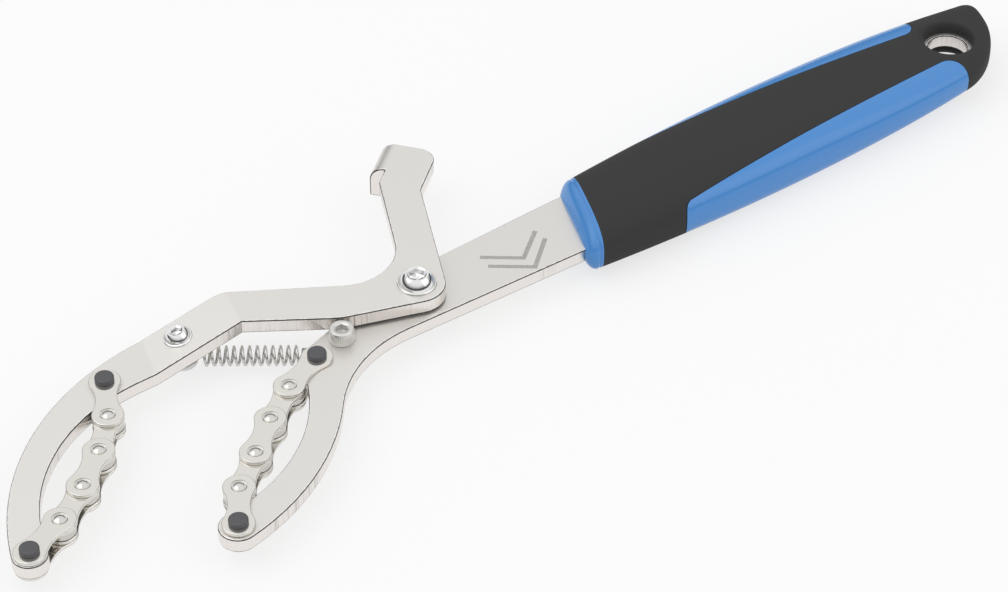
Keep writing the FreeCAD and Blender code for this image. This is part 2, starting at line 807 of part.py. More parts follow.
def return_spring():
    """Tension spring: ribbed body of its coils, each rib half a pitch wide, and two flat hooks."""
    low = -size("spring_low")
    frame = post_frame()
    axis = frame.Rotation.multVec(Vector(0, 0, 1))
    post = frame.Base + axis * ((low - frame.Base.z) / axis.z)
    stop = stop_place + Vector(0, 0, low)
    along = stop - post
    heading = math.degrees(math.atan2(along.y, along.x))
    wire = 2 * size("wire_round")
    outer = size("coil_round")
    pitch = size("coil_pitch")
    start = size("coil_start")
    turns = int(size("coil_turns"))
    end = start + turns * pitch
    core = column("spring_core", COIL_STEPS, "sizes.coil_round - 2*sizes.wire_round",
                  "sizes.coil_turns * sizes.coil_pitch", start)
    ribs = [
        column(f"spring_turn_{turn + 1}", COIL_STEPS, "sizes.coil_round", "sizes.coil_pitch / 2",
               start + (turn + 0.25) * pitch)
        for turn in range(turns)]
    coil = fused("spring_coil", [core] + ribs)
    post_inside = size("post_neck_round") + size("hook_play")
    stop_inside = size("stop_round") - size("hook_groove_deep") + wire / 4
    near = padded("spring_near_hook", hook_curves(post_inside), "2*sizes.wire_round", middle=True)
    far = padded("spring_far_hook", hook_curves(stop_inside), "2*sizes.wire_round", middle=True)
    near_bar = padded("spring_near_bar", polygon([
        Vector(0, post_inside, 0), Vector(start, outer - 2 * wire, 0),
        Vector(start, outer - wire, 0), Vector(0, post_inside + wire, 0),
    ]), "2*sizes.wire_round", middle=True)
    reach = along.Length
    far_bar = padded("spring_far_bar", polygon([
        Vector(end, outer - wire, 0), Vector(end, outer - 2 * wire, 0),
        Vector(reach, stop_inside, 0), Vector(reach, stop_inside + wire, 0),
    ]), "2*sizes.wire_round", middle=True)
    far.Placement = Placement(Vector(reach, 0, 0), Rotation(Vector(0, 0, 1), 180))
    coil.Placement = Placement(ORIGIN, Rotation(Vector(0, 1, 0), 90))
    spring = fused("return_spring", [coil, near, far, near_bar, far_bar])
    spring.Placement = Placement(post, Rotation(Vector(0, 0, 1), heading))
    keep(spring, "return_spring", "jaw")


# Grip


def grip_plane(along):
    """Slanted upright plane across the handle, at a distance from the grip's front."""
    slant = size("grip_slant")
    across = toward(90 - slant)
    turn = Rotation(across, Vector(0, 0, 1), toward(-slant), "XYZ")
    return Placement(pivot + Vector(size("grip_front") + along, 0, 0), turn)


def grip_long():
    """Length of the grip on the centre line."""
    return size("reach") - size("grip_front") + size("grip_tail")


def swell(along, front, middle, end, power):
    """A size of the grip's section: it grows to the belly, then falls off towards the end."""
    belly = size("grip_belly")
    share = min(along / grip_long(), 1)
    if share < belly:
        return middle - (middle - front) * (1 - share / belly)**2
    return middle - (middle - end) * ((share - belly) / (1 - belly))**power


def grip_section(name, along, half_width, half_thick):
    """Faceted oval section of the grip in its slanted plane."""
    half = half_width / math.cos(math.radians(size("grip_slant")))
    fillet = size("grip_edge") * half_thick
    points = []
    for start, side_x, side_y in ((0, 1, 1), (90, -1, 1), (180, -1, -1), (270, 1, -1)):
        centre = Vector(side_x * (half - fillet), side_y * (half_thick - fillet), 0)
        points += arc_points(centre, fillet, start, 90, EDGE_STEPS)
    sketch = doc.addObject("Sketcher::SketchObject", name)
    sketch.Placement = grip_plane(along)
    sketch.addGeometry(polygon(points), False)
    return sketch


def funnel_ring(name, radius, level):
    """Ring of the opening about the hanging hole, faceted, at one level."""
    ring = doc.addObject("Part::RegularPolygon", name)
    ring.Polygon = HEAD_STEPS
    ring.Circumradius = radius / math.cos(math.pi / HEAD_STEPS)
    ring.Placement = Placement(Vector(0, 0, level), Rotation())
    return ring


def slanted(along, across):
    """Point on the slanted line that crosses the handle at a distance from the grip's front."""
    lean = math.tan(math.radians(size("grip_slant")))
    return pivot + Vector(size("grip_front") + along + across * lean, across, 0)


def slanted_outline(start, end, half):
    """Corners of a slanted four-sided field across the handle, seen from above."""
    return [slanted(end, -half), slanted(end, half), slanted(start, half), slanted(start, -half)]


def grip():
    """Hard core with its collar and side panels, and the soft cover over it."""
    collar = size("collar_long")
    long = grip_long()
    front_half = size("grip_half_front")
    front_thick = size("grip_thick_front")
    end_half = size("grip_half_end")
    end_thick = size("grip_thick_end")
    mid_half = size("grip_half_middle")
    mid_thick = size("grip_thick_middle")
    width = (front_half, mid_half, end_half, size("grip_width_power"))
    thickness = (front_thick, mid_thick, end_thick, size("grip_thick_power"))
    stations = [collar] + [long * share for share in GRIP_STATIONS] + [long + collar]
    form = lofted("grip_form", [
        grip_section(f"grip_form_{number}", along, swell(along, *width), swell(along, *thickness))
        for number, along in enumerate(stations, start=1)])
    collar_half = size("collar_half_front")
    collar_thick = size("collar_thick_front")
    edge_half = swell(collar, *width)
    edge_thick = swell(collar, *thickness)
    collar_form = lofted("grip_collar_form", [
        grip_section(f"grip_collar_{number}", collar * share,
                     collar_half + (edge_half - collar_half) * rise,
                     collar_thick + (edge_thick - collar_thick) * rise)
        for number, (share, rise) in enumerate(COLLAR_RISE, start=1)])
    wide = 2 * mid_half
    ends = padded("grip_ends", closed_outline([
        corner(slanted(long, -end_half), size("grip_lower_corner")),
        corner(slanted(long, end_half), size("grip_upper_corner")),
        corner(slanted(collar, wide)),
        corner(slanted(collar, -wide)),
    ]), "4*sizes.grip_thick_middle", middle=True)
    envelope = common("grip_envelope", [form, ends])

    start = size("panel_start")
    end = size("reach") - size("grip_front") - size("panel_tail")
    front = pivot + Vector(size("grip_front"), 0, 0)
    panels = []
    for label, side in (("left", 1), ("right", -1)):
        outline = closed_outline([
            corner(front + Vector(start, side * size("panel_half_start"), 0), size("panel_front_corner")),
            corner(front + Vector(end, side * size("panel_half_end"), 0), size("panel_rear_corner")),
            corner(front + Vector(end, side * wide, 0)),
            corner(front + Vector(start, side * wide, 0)),
        ])
        panels.append(padded(f"grip_panel_{label}", outline, "4*sizes.grip_thick_middle", middle=True))
    slab_end = size("reach") - size("grip_front") - size("core_tail")
    slab_field = slanted_outline(collar - size("core_overlap"), slab_end, size("core_half"))
    slab = padded("grip_slab", polygon(slab_field), "2*sizes.core_thick", middle=True)
    arms = []
    for field_body in panels:
        arms.append(common(field_body.Label + "_skin", [envelope, field_body]))
    bridge_field = slanted_outline(
        start + size("bridge_inset"), end - size("bridge_inset"), size("panel_half_start"))
    bridge = padded("grip_bridge", polygon(bridge_field), "sizes.bridge_thick", middle=True)
    bridge_skin = common("grip_bridge_skin", [envelope, bridge])
    core_solid = fused("grip_core_solid", [collar_form, slab, bridge_skin] + arms)
    arm_tool = doc.getObject("main_plate")
    core = cut("grip_core", core_solid, [arm_tool])
    keep(core, "grip_core", "main")

    mouth = size("funnel_rim") + mid_thick - end_thick
    throat = size("funnel_round")
    funnel = lofted("grip_funnel", [
        funnel_ring(f"grip_funnel_{number}", radius, level)
        for number, (radius, level) in enumerate((
            (mouth, -mid_thick), (throat, -arm_half), (throat, arm_half), (mouth, mid_thick)), start=1)])
    cover = cut("grip_cover", envelope, [core_solid, arm_tool, funnel])
    keep(cover, "grip_cover", "main")


def write_parts():
    """Checks every object and writes one file for each sub-part."""
    doc.recompute()
    for item in doc.Objects:
        faults = [state for state in item.State if state in ("Invalid", "Error")]
        if faults:
            raise RuntimeError(f"{item.Name} is {faults}")
    os.makedirs("parts", exist_ok=True)
    for item, label, body in nodes:
        shape = item.Shape
        if shape.isNull() or not shape.isValid() or not shape.Solids:
            raise RuntimeError(f"{label} has no valid solid")
        shape.exportStep(os.path.join("parts", label + ".step"))
        print(label, body, len(shape.Solids), round(shape.Volume, 1))


main_arm()
jaw_arm()
pivot_parts()
stop_screw()
post_parts()
chain("main", main_pins)
chain("jaw", jaw_pins)
end_pin("main_end_pin_root", "main", main_pins[0])
end_pin("main_end_pin_tip", "main", main_pins[-1])
end_pin("jaw_end_pin_root", "jaw", jaw_pins[0])
end_pin("jaw_end_pin_tip", "jaw", jaw_pins[-1])
return_spring()
grip()
write_parts()
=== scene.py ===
"""Looks of the two-jaw chain whip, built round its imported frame.

Everything is in metres in the frame of the CAD part: the origin is the axis of the hanging hole,
X runs along the handle from the jaws to the hole, and Z is up. Sizes in the dataclasses are in
millimetres and become metres through MM.
"""

import json
import logging
import math
from collections.abc import Sequence
from dataclasses import dataclass
from enum import Enum, IntEnum

import bmesh
import bpy
from mathutils import Matrix, Vector


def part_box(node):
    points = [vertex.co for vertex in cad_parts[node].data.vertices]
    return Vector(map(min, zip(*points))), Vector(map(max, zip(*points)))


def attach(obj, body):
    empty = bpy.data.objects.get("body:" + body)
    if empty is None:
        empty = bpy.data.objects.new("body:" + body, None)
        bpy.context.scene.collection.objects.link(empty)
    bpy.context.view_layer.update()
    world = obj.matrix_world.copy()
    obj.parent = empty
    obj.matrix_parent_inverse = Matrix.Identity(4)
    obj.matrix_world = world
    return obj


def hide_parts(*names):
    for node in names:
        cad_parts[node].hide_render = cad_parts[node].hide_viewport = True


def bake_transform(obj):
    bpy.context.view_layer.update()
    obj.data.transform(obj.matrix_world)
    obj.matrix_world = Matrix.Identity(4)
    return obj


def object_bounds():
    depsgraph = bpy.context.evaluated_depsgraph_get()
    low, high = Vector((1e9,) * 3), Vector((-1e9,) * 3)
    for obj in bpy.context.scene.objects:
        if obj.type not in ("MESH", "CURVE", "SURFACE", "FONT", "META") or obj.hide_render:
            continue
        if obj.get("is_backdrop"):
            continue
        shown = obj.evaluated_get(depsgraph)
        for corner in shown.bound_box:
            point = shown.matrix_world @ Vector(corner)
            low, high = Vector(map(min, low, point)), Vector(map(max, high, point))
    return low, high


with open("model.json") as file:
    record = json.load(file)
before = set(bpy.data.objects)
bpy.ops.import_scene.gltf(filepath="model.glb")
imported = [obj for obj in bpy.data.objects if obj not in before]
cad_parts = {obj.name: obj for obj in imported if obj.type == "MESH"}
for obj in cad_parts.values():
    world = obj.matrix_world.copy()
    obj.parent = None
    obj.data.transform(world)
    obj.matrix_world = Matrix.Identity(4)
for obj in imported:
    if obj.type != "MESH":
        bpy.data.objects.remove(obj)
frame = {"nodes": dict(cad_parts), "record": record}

MM = 0.001
UP = Vector((0, 0, 1))
Colour = tuple[float, float, float]
Band = tuple[float, float]
WIDE: Band = (0.3, 0.7)
MIDDLE: Band = (0.35, 0.65)
UPPER: Band = (0.35, 0.7)
UNIT: Band = (0.0, 1.0)
log = logging.getLogger("chain_whip")
BODY_OF = {node: body for body, nodes in frame["record"]["behaviour"]["bodies"].items() for node in nodes}


# Places read from the frame


def place_of(node: str) -> Vector:
    """Middle of a CAD node's box.

    Args:
        node: name of the node.

    Returns:
        The point, in metres.
    """
    low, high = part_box(node)
    return (low + high) / 2


def chain_places(arm: str) -> list[Vector]:
    """Axes of the six pins of one chain, from the root of the hook to its tip.

    Args:
        arm: "main" or "jaw".

    Returns:
        Six points at the middle height of the pins, in metres.
    """
    names = [f"{arm}_end_pin_root"]
    names += [f"{arm}_rivet_{number}" for number in range(2, 6)]
    names.append(f"{arm}_end_pin_tip")
    return [place_of(name) for name in names]


# Materials


class Recipe:
    """Node tree of one material, with short calls for what the finishes share."""

    def __init__(self, name: str, colour: Colour, metallic: float, roughness: float) -> None:
        """Starts a material.

        Args:
            name: name of the material.
            colour: linear base colour.
            metallic: share of metal.
            roughness: roughness of the surface.
        """
        self.material = bpy.data.materials.new(name)
        self.material.use_nodes = True
        self.tree = self.material.node_tree
        self.shader = self.tree.nodes["Principled BSDF"]
        self.set("Base Color", (*colour, 1.0))
        self.set("Metallic", metallic)
        self.set("Roughness", roughness)
        self.place = self.add("ShaderNodeTexCoord").outputs["Object"]

    def add(self, kind: str) -> bpy.types.Node:
        """Adds one node of the given kind."""
        return self.tree.nodes.new(kind)

    def set(self, socket: str, value: float | tuple[float, ...]) -> None:
        """Sets one of the shader's own sockets."""
        self.shader.inputs[socket].default_value = value

    def join(self, source: bpy.types.NodeSocket, target: bpy.types.NodeSocket) -> None:
        """Links two sockets."""
        self.tree.links.new(source, target)

    def noise(self, scale: float, detail: float = 2.0,
              stretch: tuple[float, float, float] = (1.0, 1.0, 1.0)) -> bpy.types.NodeSocket:
        """Noise on the object's own coordinates.

        Args:
            scale: spots to a metre.
            detail: octaves of finer noise.
            stretch: share of the scale along X, Y and Z.

        Returns:
            The noise value.
        """
        mapping = self.add("ShaderNodeMapping")
        mapping.inputs["Scale"].default_value = [scale * share for share in stretch]
        self.join(self.place, mapping.inputs["Vector"])
        noise = self.add("ShaderNodeTexNoise")
        noise.inputs["Scale"].default_value = 1.0
        noise.inputs["Detail"].default_value = detail
        self.join(mapping.outputs["Vector"], noise.inputs["Vector"])
        return noise.outputs["Fac"]

    def spread(self, value: bpy.types.NodeSocket, taken: Band, given: Band = UNIT) -> bpy.types.NodeSocket:
        """Maps a value from one band to another.

        Args:
            value: the value to map.
            taken: band of the value that is used.
            given: results at the ends of that band.

        Returns:
            The mapped value.
        """
        node = self.add("ShaderNodeMapRange")
        sockets = ("From Min", "From Max", "To Min", "To Max")
        for socket, number in zip(sockets, taken + given):
            node.inputs[socket].default_value = number
        self.join(value, node.inputs["Value"])
        return node.outputs["Result"]

    def times(self, first: bpy.types.NodeSocket, second: bpy.types.NodeSocket) -> bpy.types.NodeSocket:
        """Product of two values."""
        node = self.add("ShaderNodeMath")
        node.operation = "MULTIPLY"
        self.join(first, node.inputs[0])
        self.join(second, node.inputs[1])
        return node.outputs[0]

    def colours(self, factor: bpy.types.NodeSocket, low: Colour, high: Colour) -> bpy.types.NodeSocket:
        """Colour between two by a factor.

        Args:
            factor: 0 for the low colour and 1 for the high one.
            low: first colour.
            high: second colour.

        Returns:
            The mixed colour.
        """
        node = self.add("ShaderNodeMix")
        node.data_type = "RGBA"
        node.inputs[6].default_value = (*low, 1.0)
        node.inputs[7].default_value = (*high, 1.0)
        self.join(factor, node.inputs[0])
        return node.outputs[2]

    def paint(self, colour: bpy.types.NodeSocket) -> None:
        """Uses a colour as the base colour."""
        self.join(colour, self.shader.inputs["Base Color"])

    def mottle(self, value: bpy.types.NodeSocket, taken: Band, colour: Colour, shares: Band) -> None:
        """Paints a colour in two shades that follow a pattern.

        Args:
            value: the pattern.
            taken: band of the pattern that is used.
            colour: the colour between the shades.
            shares: the darker and the brighter shade, as shares of the colour.
        """
        self.paint(self.colours(self.spread(value, taken), shaded(colour, shares[0]),
                                shaded(colour, shares[1])))

    def rough(self, value: bpy.types.NodeSocket, taken: Band, middle: float, reach: Band) -> None:
        """Lets the roughness follow a pattern.

        Args:
            value: the pattern.
            taken: band of the pattern that is used.
            middle: roughness between the smoother and the rougher places.
            reach: how much smoother and how much rougher those places are.
        """
        rough = self.spread(value, taken, (middle - reach[0], middle + reach[1]))
        self.join(rough, self.shader.inputs["Roughness"])

    def bump(self, height: bpy.types.NodeSocket, depth: float, strength: float = 1.0) -> None:
        """Raises the surface by a height pattern.

        Args:
            height: the pattern, 0 to 1.
            depth: its depth in metres.
            strength: share of its effect.
        """
        node = self.add("ShaderNodeBump")
        node.inputs["Distance"].default_value = depth
        node.inputs["Strength"].default_value = strength
        self.join(height, node.inputs["Height"])
        self.join(node.outputs["Normal"], self.shader.inputs["Normal"])


def shaded(colour: Colour, share: float) -> Colour:
    """The colour times a share."""
    return (colour[0] * share, colour[1] * share, colour[2] * share)


@dataclass(frozen=True)
class SatinNickel:
    """Pearl nickel plate over blasted steel, with its fine grain."""

    name: str
    colour: Colour = (0.80, 0.775, 0.745)
    shades: Band = (0.84, 1.08)
    roughness: float = 0.36
    rough_reach: Band = (0.05, 0.06)
    grain: float = 3400.0
    clouds: float = 45.0
    depth: float = 0.00005

    def material(self) -> bpy.types.Material:
        """Material of the finish."""
        recipe = Recipe(self.name, self.colour, 1.0, self.roughness)
        grain = recipe.noise(self.grain, 3.0)
        clouds = recipe.noise(self.clouds, 3.0)
        recipe.mottle(grain, WIDE, self.colour, self.shades)
        recipe.rough(clouds, MIDDLE, self.roughness, self.rough_reach)
        recipe.bump(grain, self.depth)
        return recipe.material


@dataclass(frozen=True)
class ShearedWall:
    """Plated side wall of a punched plate, with upright shear streaks in places."""

    name: str
    colour: Colour = (0.84, 0.80, 0.77)
    streak: Colour = (0.20, 0.17, 0.14)
    roughness: float = 0.24
    rough_reach: Band = (0.06, 0.1)
    lines: float = 1500.0
    line_stretch: tuple[float, float, float] = (1.0, 1.0, 0.03)
    line_band: Band = (0.5, 0.66)
    zones: float = 46.0
    zone_stretch: tuple[float, float, float] = (1.0, 1.0, 0.1)
    zone_band: Band = (0.56, 0.68)
    depth: float = 0.00002

    def material(self) -> bpy.types.Material:
        """Material of the finish."""
        recipe = Recipe(self.name, self.colour, 1.0, self.roughness)
        lines = recipe.noise(self.lines, 2.0, self.line_stretch)
        zones = recipe.noise(self.zones, 1.0, self.zone_stretch)
        dark = recipe.times(recipe.spread(lines, self.line_band), recipe.spread(zones, self.zone_band))
        recipe.paint(recipe.colours(dark, self.colour, self.streak))
        recipe.rough(lines, WIDE, self.roughness, self.rough_reach)
        recipe.bump(lines, self.depth, 0.6)
        return recipe.material


@dataclass(frozen=True)
class PaintedLightEdge:
    """Rolled edge of a punched plate, painted darker than its faces as shade or brighter as a highlight."""

    name: str
    colour: Colour
    roughness: float = 0.3
    shades: Band = (0.75, 1.3)
    nicks: float = 900.0
    depth: float = 0.00003

    def material(self) -> bpy.types.Material:
        """Material of the finish."""
        recipe = Recipe(self.name, self.colour, 1.0, self.roughness)
        nicks = recipe.noise(self.nicks, 3.0)
        recipe.mottle(nicks, UPPER, self.colour, self.shades)
        recipe.bump(nicks, self.depth, 0.5)
        return recipe.material


@dataclass(frozen=True)
class PolishedSteel:
    """Tumbled or polished steel with faint clouds and a warm tint in places."""

    name: str
    colour: Colour = (0.70, 0.665, 0.62)
    tint: Colour = (0.62, 0.50, 0.38)
    tint_share: float = 0.25
    tint_band: Band = (0.52, 0.72)
    roughness: float = 0.2
    rough_reach: Band = (0.05, 0.07)
    clouds: float = 170.0
    fine: float = 2600.0
    depth: float = 0.00001

    def material(self) -> bpy.types.Material:
        """Material of the finish."""
        recipe = Recipe(self.name, self.colour, 1.0, self.roughness)
        clouds = recipe.noise(self.clouds, 3.0)
        warm = recipe.spread(clouds, self.tint_band, (0.0, self.tint_share))
        recipe.paint(recipe.colours(warm, self.colour, self.tint))
        recipe.rough(clouds, MIDDLE, self.roughness, self.rough_reach)
        recipe.bump(recipe.noise(self.fine, 2.0), self.depth, 0.5)
        return recipe.material


@dataclass(frozen=True)
class BlackOxide:
    """Matte black oxide on a rough cold-formed pin."""

    name: str
    colour: Colour = (0.045, 0.046, 0.052)
    shades: Band = (0.6, 1.7)
    metallic: float = 0.35
    roughness: float = 0.5
    pits: float = 1300.0
    depth: float = 0.00006

    def material(self) -> bpy.types.Material:
        """Material of the finish."""
        recipe = Recipe(self.name, self.colour, self.metallic, self.roughness)
        pits = recipe.noise(self.pits, 4.0)
        recipe.mottle(pits, UPPER, self.colour, self.shades)
        recipe.bump(pits, self.depth, 0.8)
        return recipe.material


@dataclass(frozen=True)
class GlossPlastic:
    """Hard moulded plastic, smooth and even, with a faint orange peel."""

    name: str
    colour: Colour = (0.068, 0.275, 0.665)
    shades: Band = (0.96, 1.04)
    roughness: float = 0.38
    rough_reach: Band = (0.04, 0.04)
    peel: float = 1400.0
    clouds: float = 30.0
    depth: float = 0.000012

    def material(self) -> bpy.types.Material:
        """Material of the finish."""
        recipe = Recipe(self.name, self.colour, 0.0, self.roughness)
        peel = recipe.noise(self.peel, 2.0)
        recipe.mottle(recipe.noise(self.clouds, 2.0), WIDE, self.colour, self.shades)
        recipe.rough(peel, WIDE, self.roughness, self.rough_reach)
        recipe.bump(peel, self.depth, 0.4)
        return recipe.material


@dataclass(frozen=True)
class GrainedRubber:
    """Soft black moulding with the fine sparkle of its spark-eroded mould."""

    name: str
    colour: Colour = (0.0235, 0.0235, 0.026)
    shades: Band = (0.8, 1.35)
    roughness: float = 0.58
    rough_reach: Band = (0.05, 0.08)
    grain: float = 4200.0
    grain_band: Band = (0.35, 0.72)
    patches: float = 60.0
    depth: float = 0.00005

    def material(self) -> bpy.types.Material:
        """Material of the finish."""
        recipe = Recipe(self.name, self.colour, 0.0, self.roughness)
        grain = recipe.noise(self.grain, 3.0)
        recipe.mottle(grain, self.grain_band, self.colour, self.shades)
        recipe.rough(recipe.noise(self.patches, 3.0), MIDDLE, self.roughness, self.rough_reach)
        recipe.bump(grain, self.depth, 0.7)
        return recipe.material


@dataclass(frozen=True)
class EtchedMark:
    """Grey mark etched in the nickel."""

    name: str
    colour: Colour = (0.47, 0.455, 0.43)
    shades: Band = (0.85, 1.2)
    metallic: float = 0.8
    roughness: float = 0.55
    speckle: float = 2600.0
    depth: float = 0.00002

    def material(self) -> bpy.types.Material:
        """Material of the finish."""
        recipe = Recipe(self.name, self.colour, self.metallic, self.roughness)
        speckle = recipe.noise(self.speckle, 3.0)
        recipe.mottle(speckle, MIDDLE, self.colour, self.shades)
        recipe.bump(speckle, self.depth, 0.6)
        return recipe.material


class Finish(Enum):
    """The finishes of the tool, named by the record's material slot where there is one."""

    MAIN_FACE = SatinNickel("main_arm_nickel")
    JAW_FACE = SatinNickel("jaw_arm_nickel", colour=(0.815, 0.79, 0.76))
    WALL = ShearedWall("sheared_wall")
    # The arms' rolled edges: painted shade on those that slope, a painted highlight on those that face up.
    DARK_EDGE = PaintedLightEdge("painted_shade_edge", (0.09, 0.087, 0.083))
    BRIGHT_EDGE = PaintedLightEdge("painted_highlight_edge", (0.90, 0.88, 0.86), 0.22)
    PLATE = PolishedSteel("chain_plate")
    ROLLER = PolishedSteel("roller_steel", colour=(0.70, 0.65, 0.59), tint_share=0.6, roughness=0.22)
    RIVET = PolishedSteel("rivet_steel", colour=(0.74, 0.71, 0.67), tint_share=0.1, roughness=0.16)
    PIN = BlackOxide("black_pin")
    CHROME = PolishedSteel("chrome_screw", colour=(0.90, 0.885, 0.86), tint_share=0.05, roughness=0.07)
    NUT = PolishedSteel("nut_steel", colour=(0.76, 0.745, 0.72), tint_share=0.1, roughness=0.28)
    STOP = PolishedSteel("stop_steel", colour=(0.80, 0.775, 0.735), tint_share=0.25, roughness=0.17)
    WIRE = PolishedSteel("spring_wire", colour=(0.70, 0.67, 0.64), tint_share=0.2, roughness=0.16)
    BLUE = GlossPlastic("blue_plastic")
    RUBBER = GrainedRubber("black_rubber")
    MARK = EtchedMark("etched_mark")

    def made(self) -> bpy.types.Material:
        """The finish's material, made once."""
        found = bpy.data.materials.get(self.value.name)
        return found or self.value.material()


# Mesh making


def show(bm: bmesh.types.BMesh, name: str, finishes: Sequence[Finish], body: str,
         crease: float = 32.0) -> bpy.types.Object:
    """Turns a finished bmesh into a piece that rides on a body.

    Args:
        bm: the mesh, in metres and in its place; it is freed.
        name: name of the piece.
        finishes: finishes of the material indices.
        body: body on which the piece rides.
        crease: edges sharper than this many degrees stay sharp.

    Returns:
        The piece.
    """
    limit = math.radians(crease)
    for face in bm.faces:
        face.smooth = True
    for edge in bm.edges:
        edge.smooth = len(edge.link_faces) == 2 and edge.smooth and edge.calc_face_angle(0.0) < limit
    mesh = bpy.data.meshes.new(name)
    bm.to_mesh(mesh)
    bm.free()
    for finish in finishes:
        mesh.materials.append(finish.made())
    piece = bpy.data.objects.new(name, mesh)
    bpy.context.scene.collection.objects.link(piece)
    weighted = piece.modifiers.new("even_normals", "WEIGHTED_NORMAL")
    weighted.keep_sharp = True
    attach(piece, body)
    return piece


def stands_for(piece: bpy.types.Object, node: str) -> None:
    """Lets a piece replace a CAD node, which is hidden.

    Args:
        piece: the new piece.
        node: the CAD node that it stands for.
    """
    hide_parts(node)
    log.info("%s stands for %s", piece.name, node)


class RingLoft:
    """Skin pulled through a row of rings that all have the same number of points."""

    def __init__(self, bm: bmesh.types.BMesh, points: Sequence[Vector]) -> None:
        """Makes the first ring.

        Args:
            bm: mesh to work in.
            points: places of the first ring, in order round it.
        """
        self.bm = bm
        made = bmesh.ops.create_circle(bm, segments=len(points), radius=1.0)
        self.verts = sorted(made["verts"], key=lambda vert: math.atan2(vert.co.y, vert.co.x))
        self.edges = self.ring_edges()
        self.first = list(self.edges)
        self.put(points)

    def ring_edges(self) -> list[bmesh.types.BMEdge]:
        """Edges between neighbours of the present ring."""
        count = len(self.verts)
        return [self.bm.edges.get((self.verts[i], self.verts[(i + 1) % count])) for i in range(count)]

    def put(self, points: Sequence[Vector]) -> None:
        """Moves the present ring to its places."""
        for vert, point in zip(self.verts, points):
            vert.co = point

    def pull(self, points: Sequence[Vector]) -> None:
        """Extrudes the present ring to the next one.

        Args:
            points: places of the next ring, in the same order.
        """
        made = bmesh.ops.extrude_edge_only(self.bm, edges=self.edges)["geom"]
        old = {vert: index for index, vert in enumerate(self.verts)}
        fresh: dict[int, bmesh.types.BMVert] = {}
        for item in made:
            if isinstance(item, bmesh.types.BMVert):
                for edge in item.link_edges:
                    other = edge.other_vert(item)
                    if other in old:
                        fresh[old[other]] = item
        self.verts = [fresh[index] for index in range(len(self.verts))]
        self.edges = self.ring_edges()
        self.put(points)

    def cap_first(self) -> None:
        """Closes the first ring with a face."""
        bmesh.ops.edgeloop_fill(self.bm, edges=self.first)

    def cap_last(self) -> None:
        """Closes the present ring with a face."""
        bmesh.ops.edgeloop_fill(self.bm, edges=self.edges)


class Outline(Enum):
    """Outline of a turned ring."""

    ROUND = "round"
    HEXAGON = "hexagon"
    KNURL = "knurl"


@dataclass(frozen=True)
class Ring:
    """One ring of a turned shape, in millimetres; a hexagon's radius is that of its corners."""

    radius: float
    level: float
    outline: Outline = Outline.ROUND

    def reach(self, angle: float, teeth: int, depth: float) -> float:
        """Radius at an angle.

        Args:
            angle: angle in radians.
            teeth: number of the knurl's teeth.
            depth: depth of the knurl in millimetres.

        Returns:
            The radius in millimetres.
        """
        sixth = math.pi / 3
        if self.outline is Outline.HEXAGON:
            return self.radius * math.cos(sixth / 2) / math.cos((angle % sixth) - sixth / 2)
        if self.outline is Outline.KNURL:
            turn = angle * teeth / (2 * math.pi)
            return self.radius - depth * abs(2 * (turn % 1) - 1)
        return self.radius


def dome(radius: float, level: float, top_radius: float, top: float, steps: int) -> list[Ring]:
    """Rings on a sphere about the axis, from a rim to a smaller one above it.

    Args:
        radius: radius of the rim.
        level: height of the rim.
        top_radius: radius of the upper rim.
        top: height of the upper rim.
        steps: number of rings.

    Returns:
        The rings, both ends included.
    """
    centre = (radius**2 + level**2 - top_radius**2 - top**2) / (2 * (level - top))
    ball = math.hypot(radius, level - centre)
    first = math.acos((level - centre) / ball)
    last = math.acos((top - centre) / ball)
    angles = [first + (last - first) * step / steps for step in range(steps + 1)]
    return [Ring(ball * math.sin(angle), centre + ball * math.cos(angle)) for angle in angles]


@dataclass(frozen=True)
class Turning:
    """Turned part about the Z axis, as a row of rings from its lower end to its upper one."""

    rings: tuple[Ring, ...]
    segments: int = 72
    teeth: int = 36
    knurl_depth: float = 0.16
    closed: bool = True

    def points(self, ring: Ring) -> list[Vector]:
        """Places of one ring's points, in metres."""
        places = []
        for index in range(self.segments):
            angle = 2 * math.pi * index / self.segments
            reach = ring.reach(angle, self.teeth, self.knurl_depth)
            place = Vector((reach * math.cos(angle), reach * math.sin(angle), ring.level))
            places.append(place * MM)
        return places

    def mesh(self, place: Matrix) -> bmesh.types.BMesh:
        """Builds the part.

        Args:
            place: matrix that puts it in its place.

        Returns:
            The mesh, in metres.
        """
        bm = bmesh.new()
        loft = RingLoft(bm, self.points(self.rings[0]))
        for ring in self.rings[1:]:
            loft.pull(self.points(ring))
        if self.closed:
            loft.cap_first()
            loft.cap_last()
        else:
            bmesh.ops.bridge_loops(bm, edges=loft.first + loft.edges)
        bmesh.ops.recalc_face_normals(bm, faces=bm.faces)
        bmesh.ops.transform(bm, matrix=place, verts=bm.verts)
        return bm


# The two arms


class Skin(IntEnum):
    """Material indices on an arm."""

    FACE = 0
    WALL = 1
    # Rolled edges that slope carry painted shade; those that face up carry a painted highlight.
    DARK_EDGE = 2
    BRIGHT_EDGE = 3


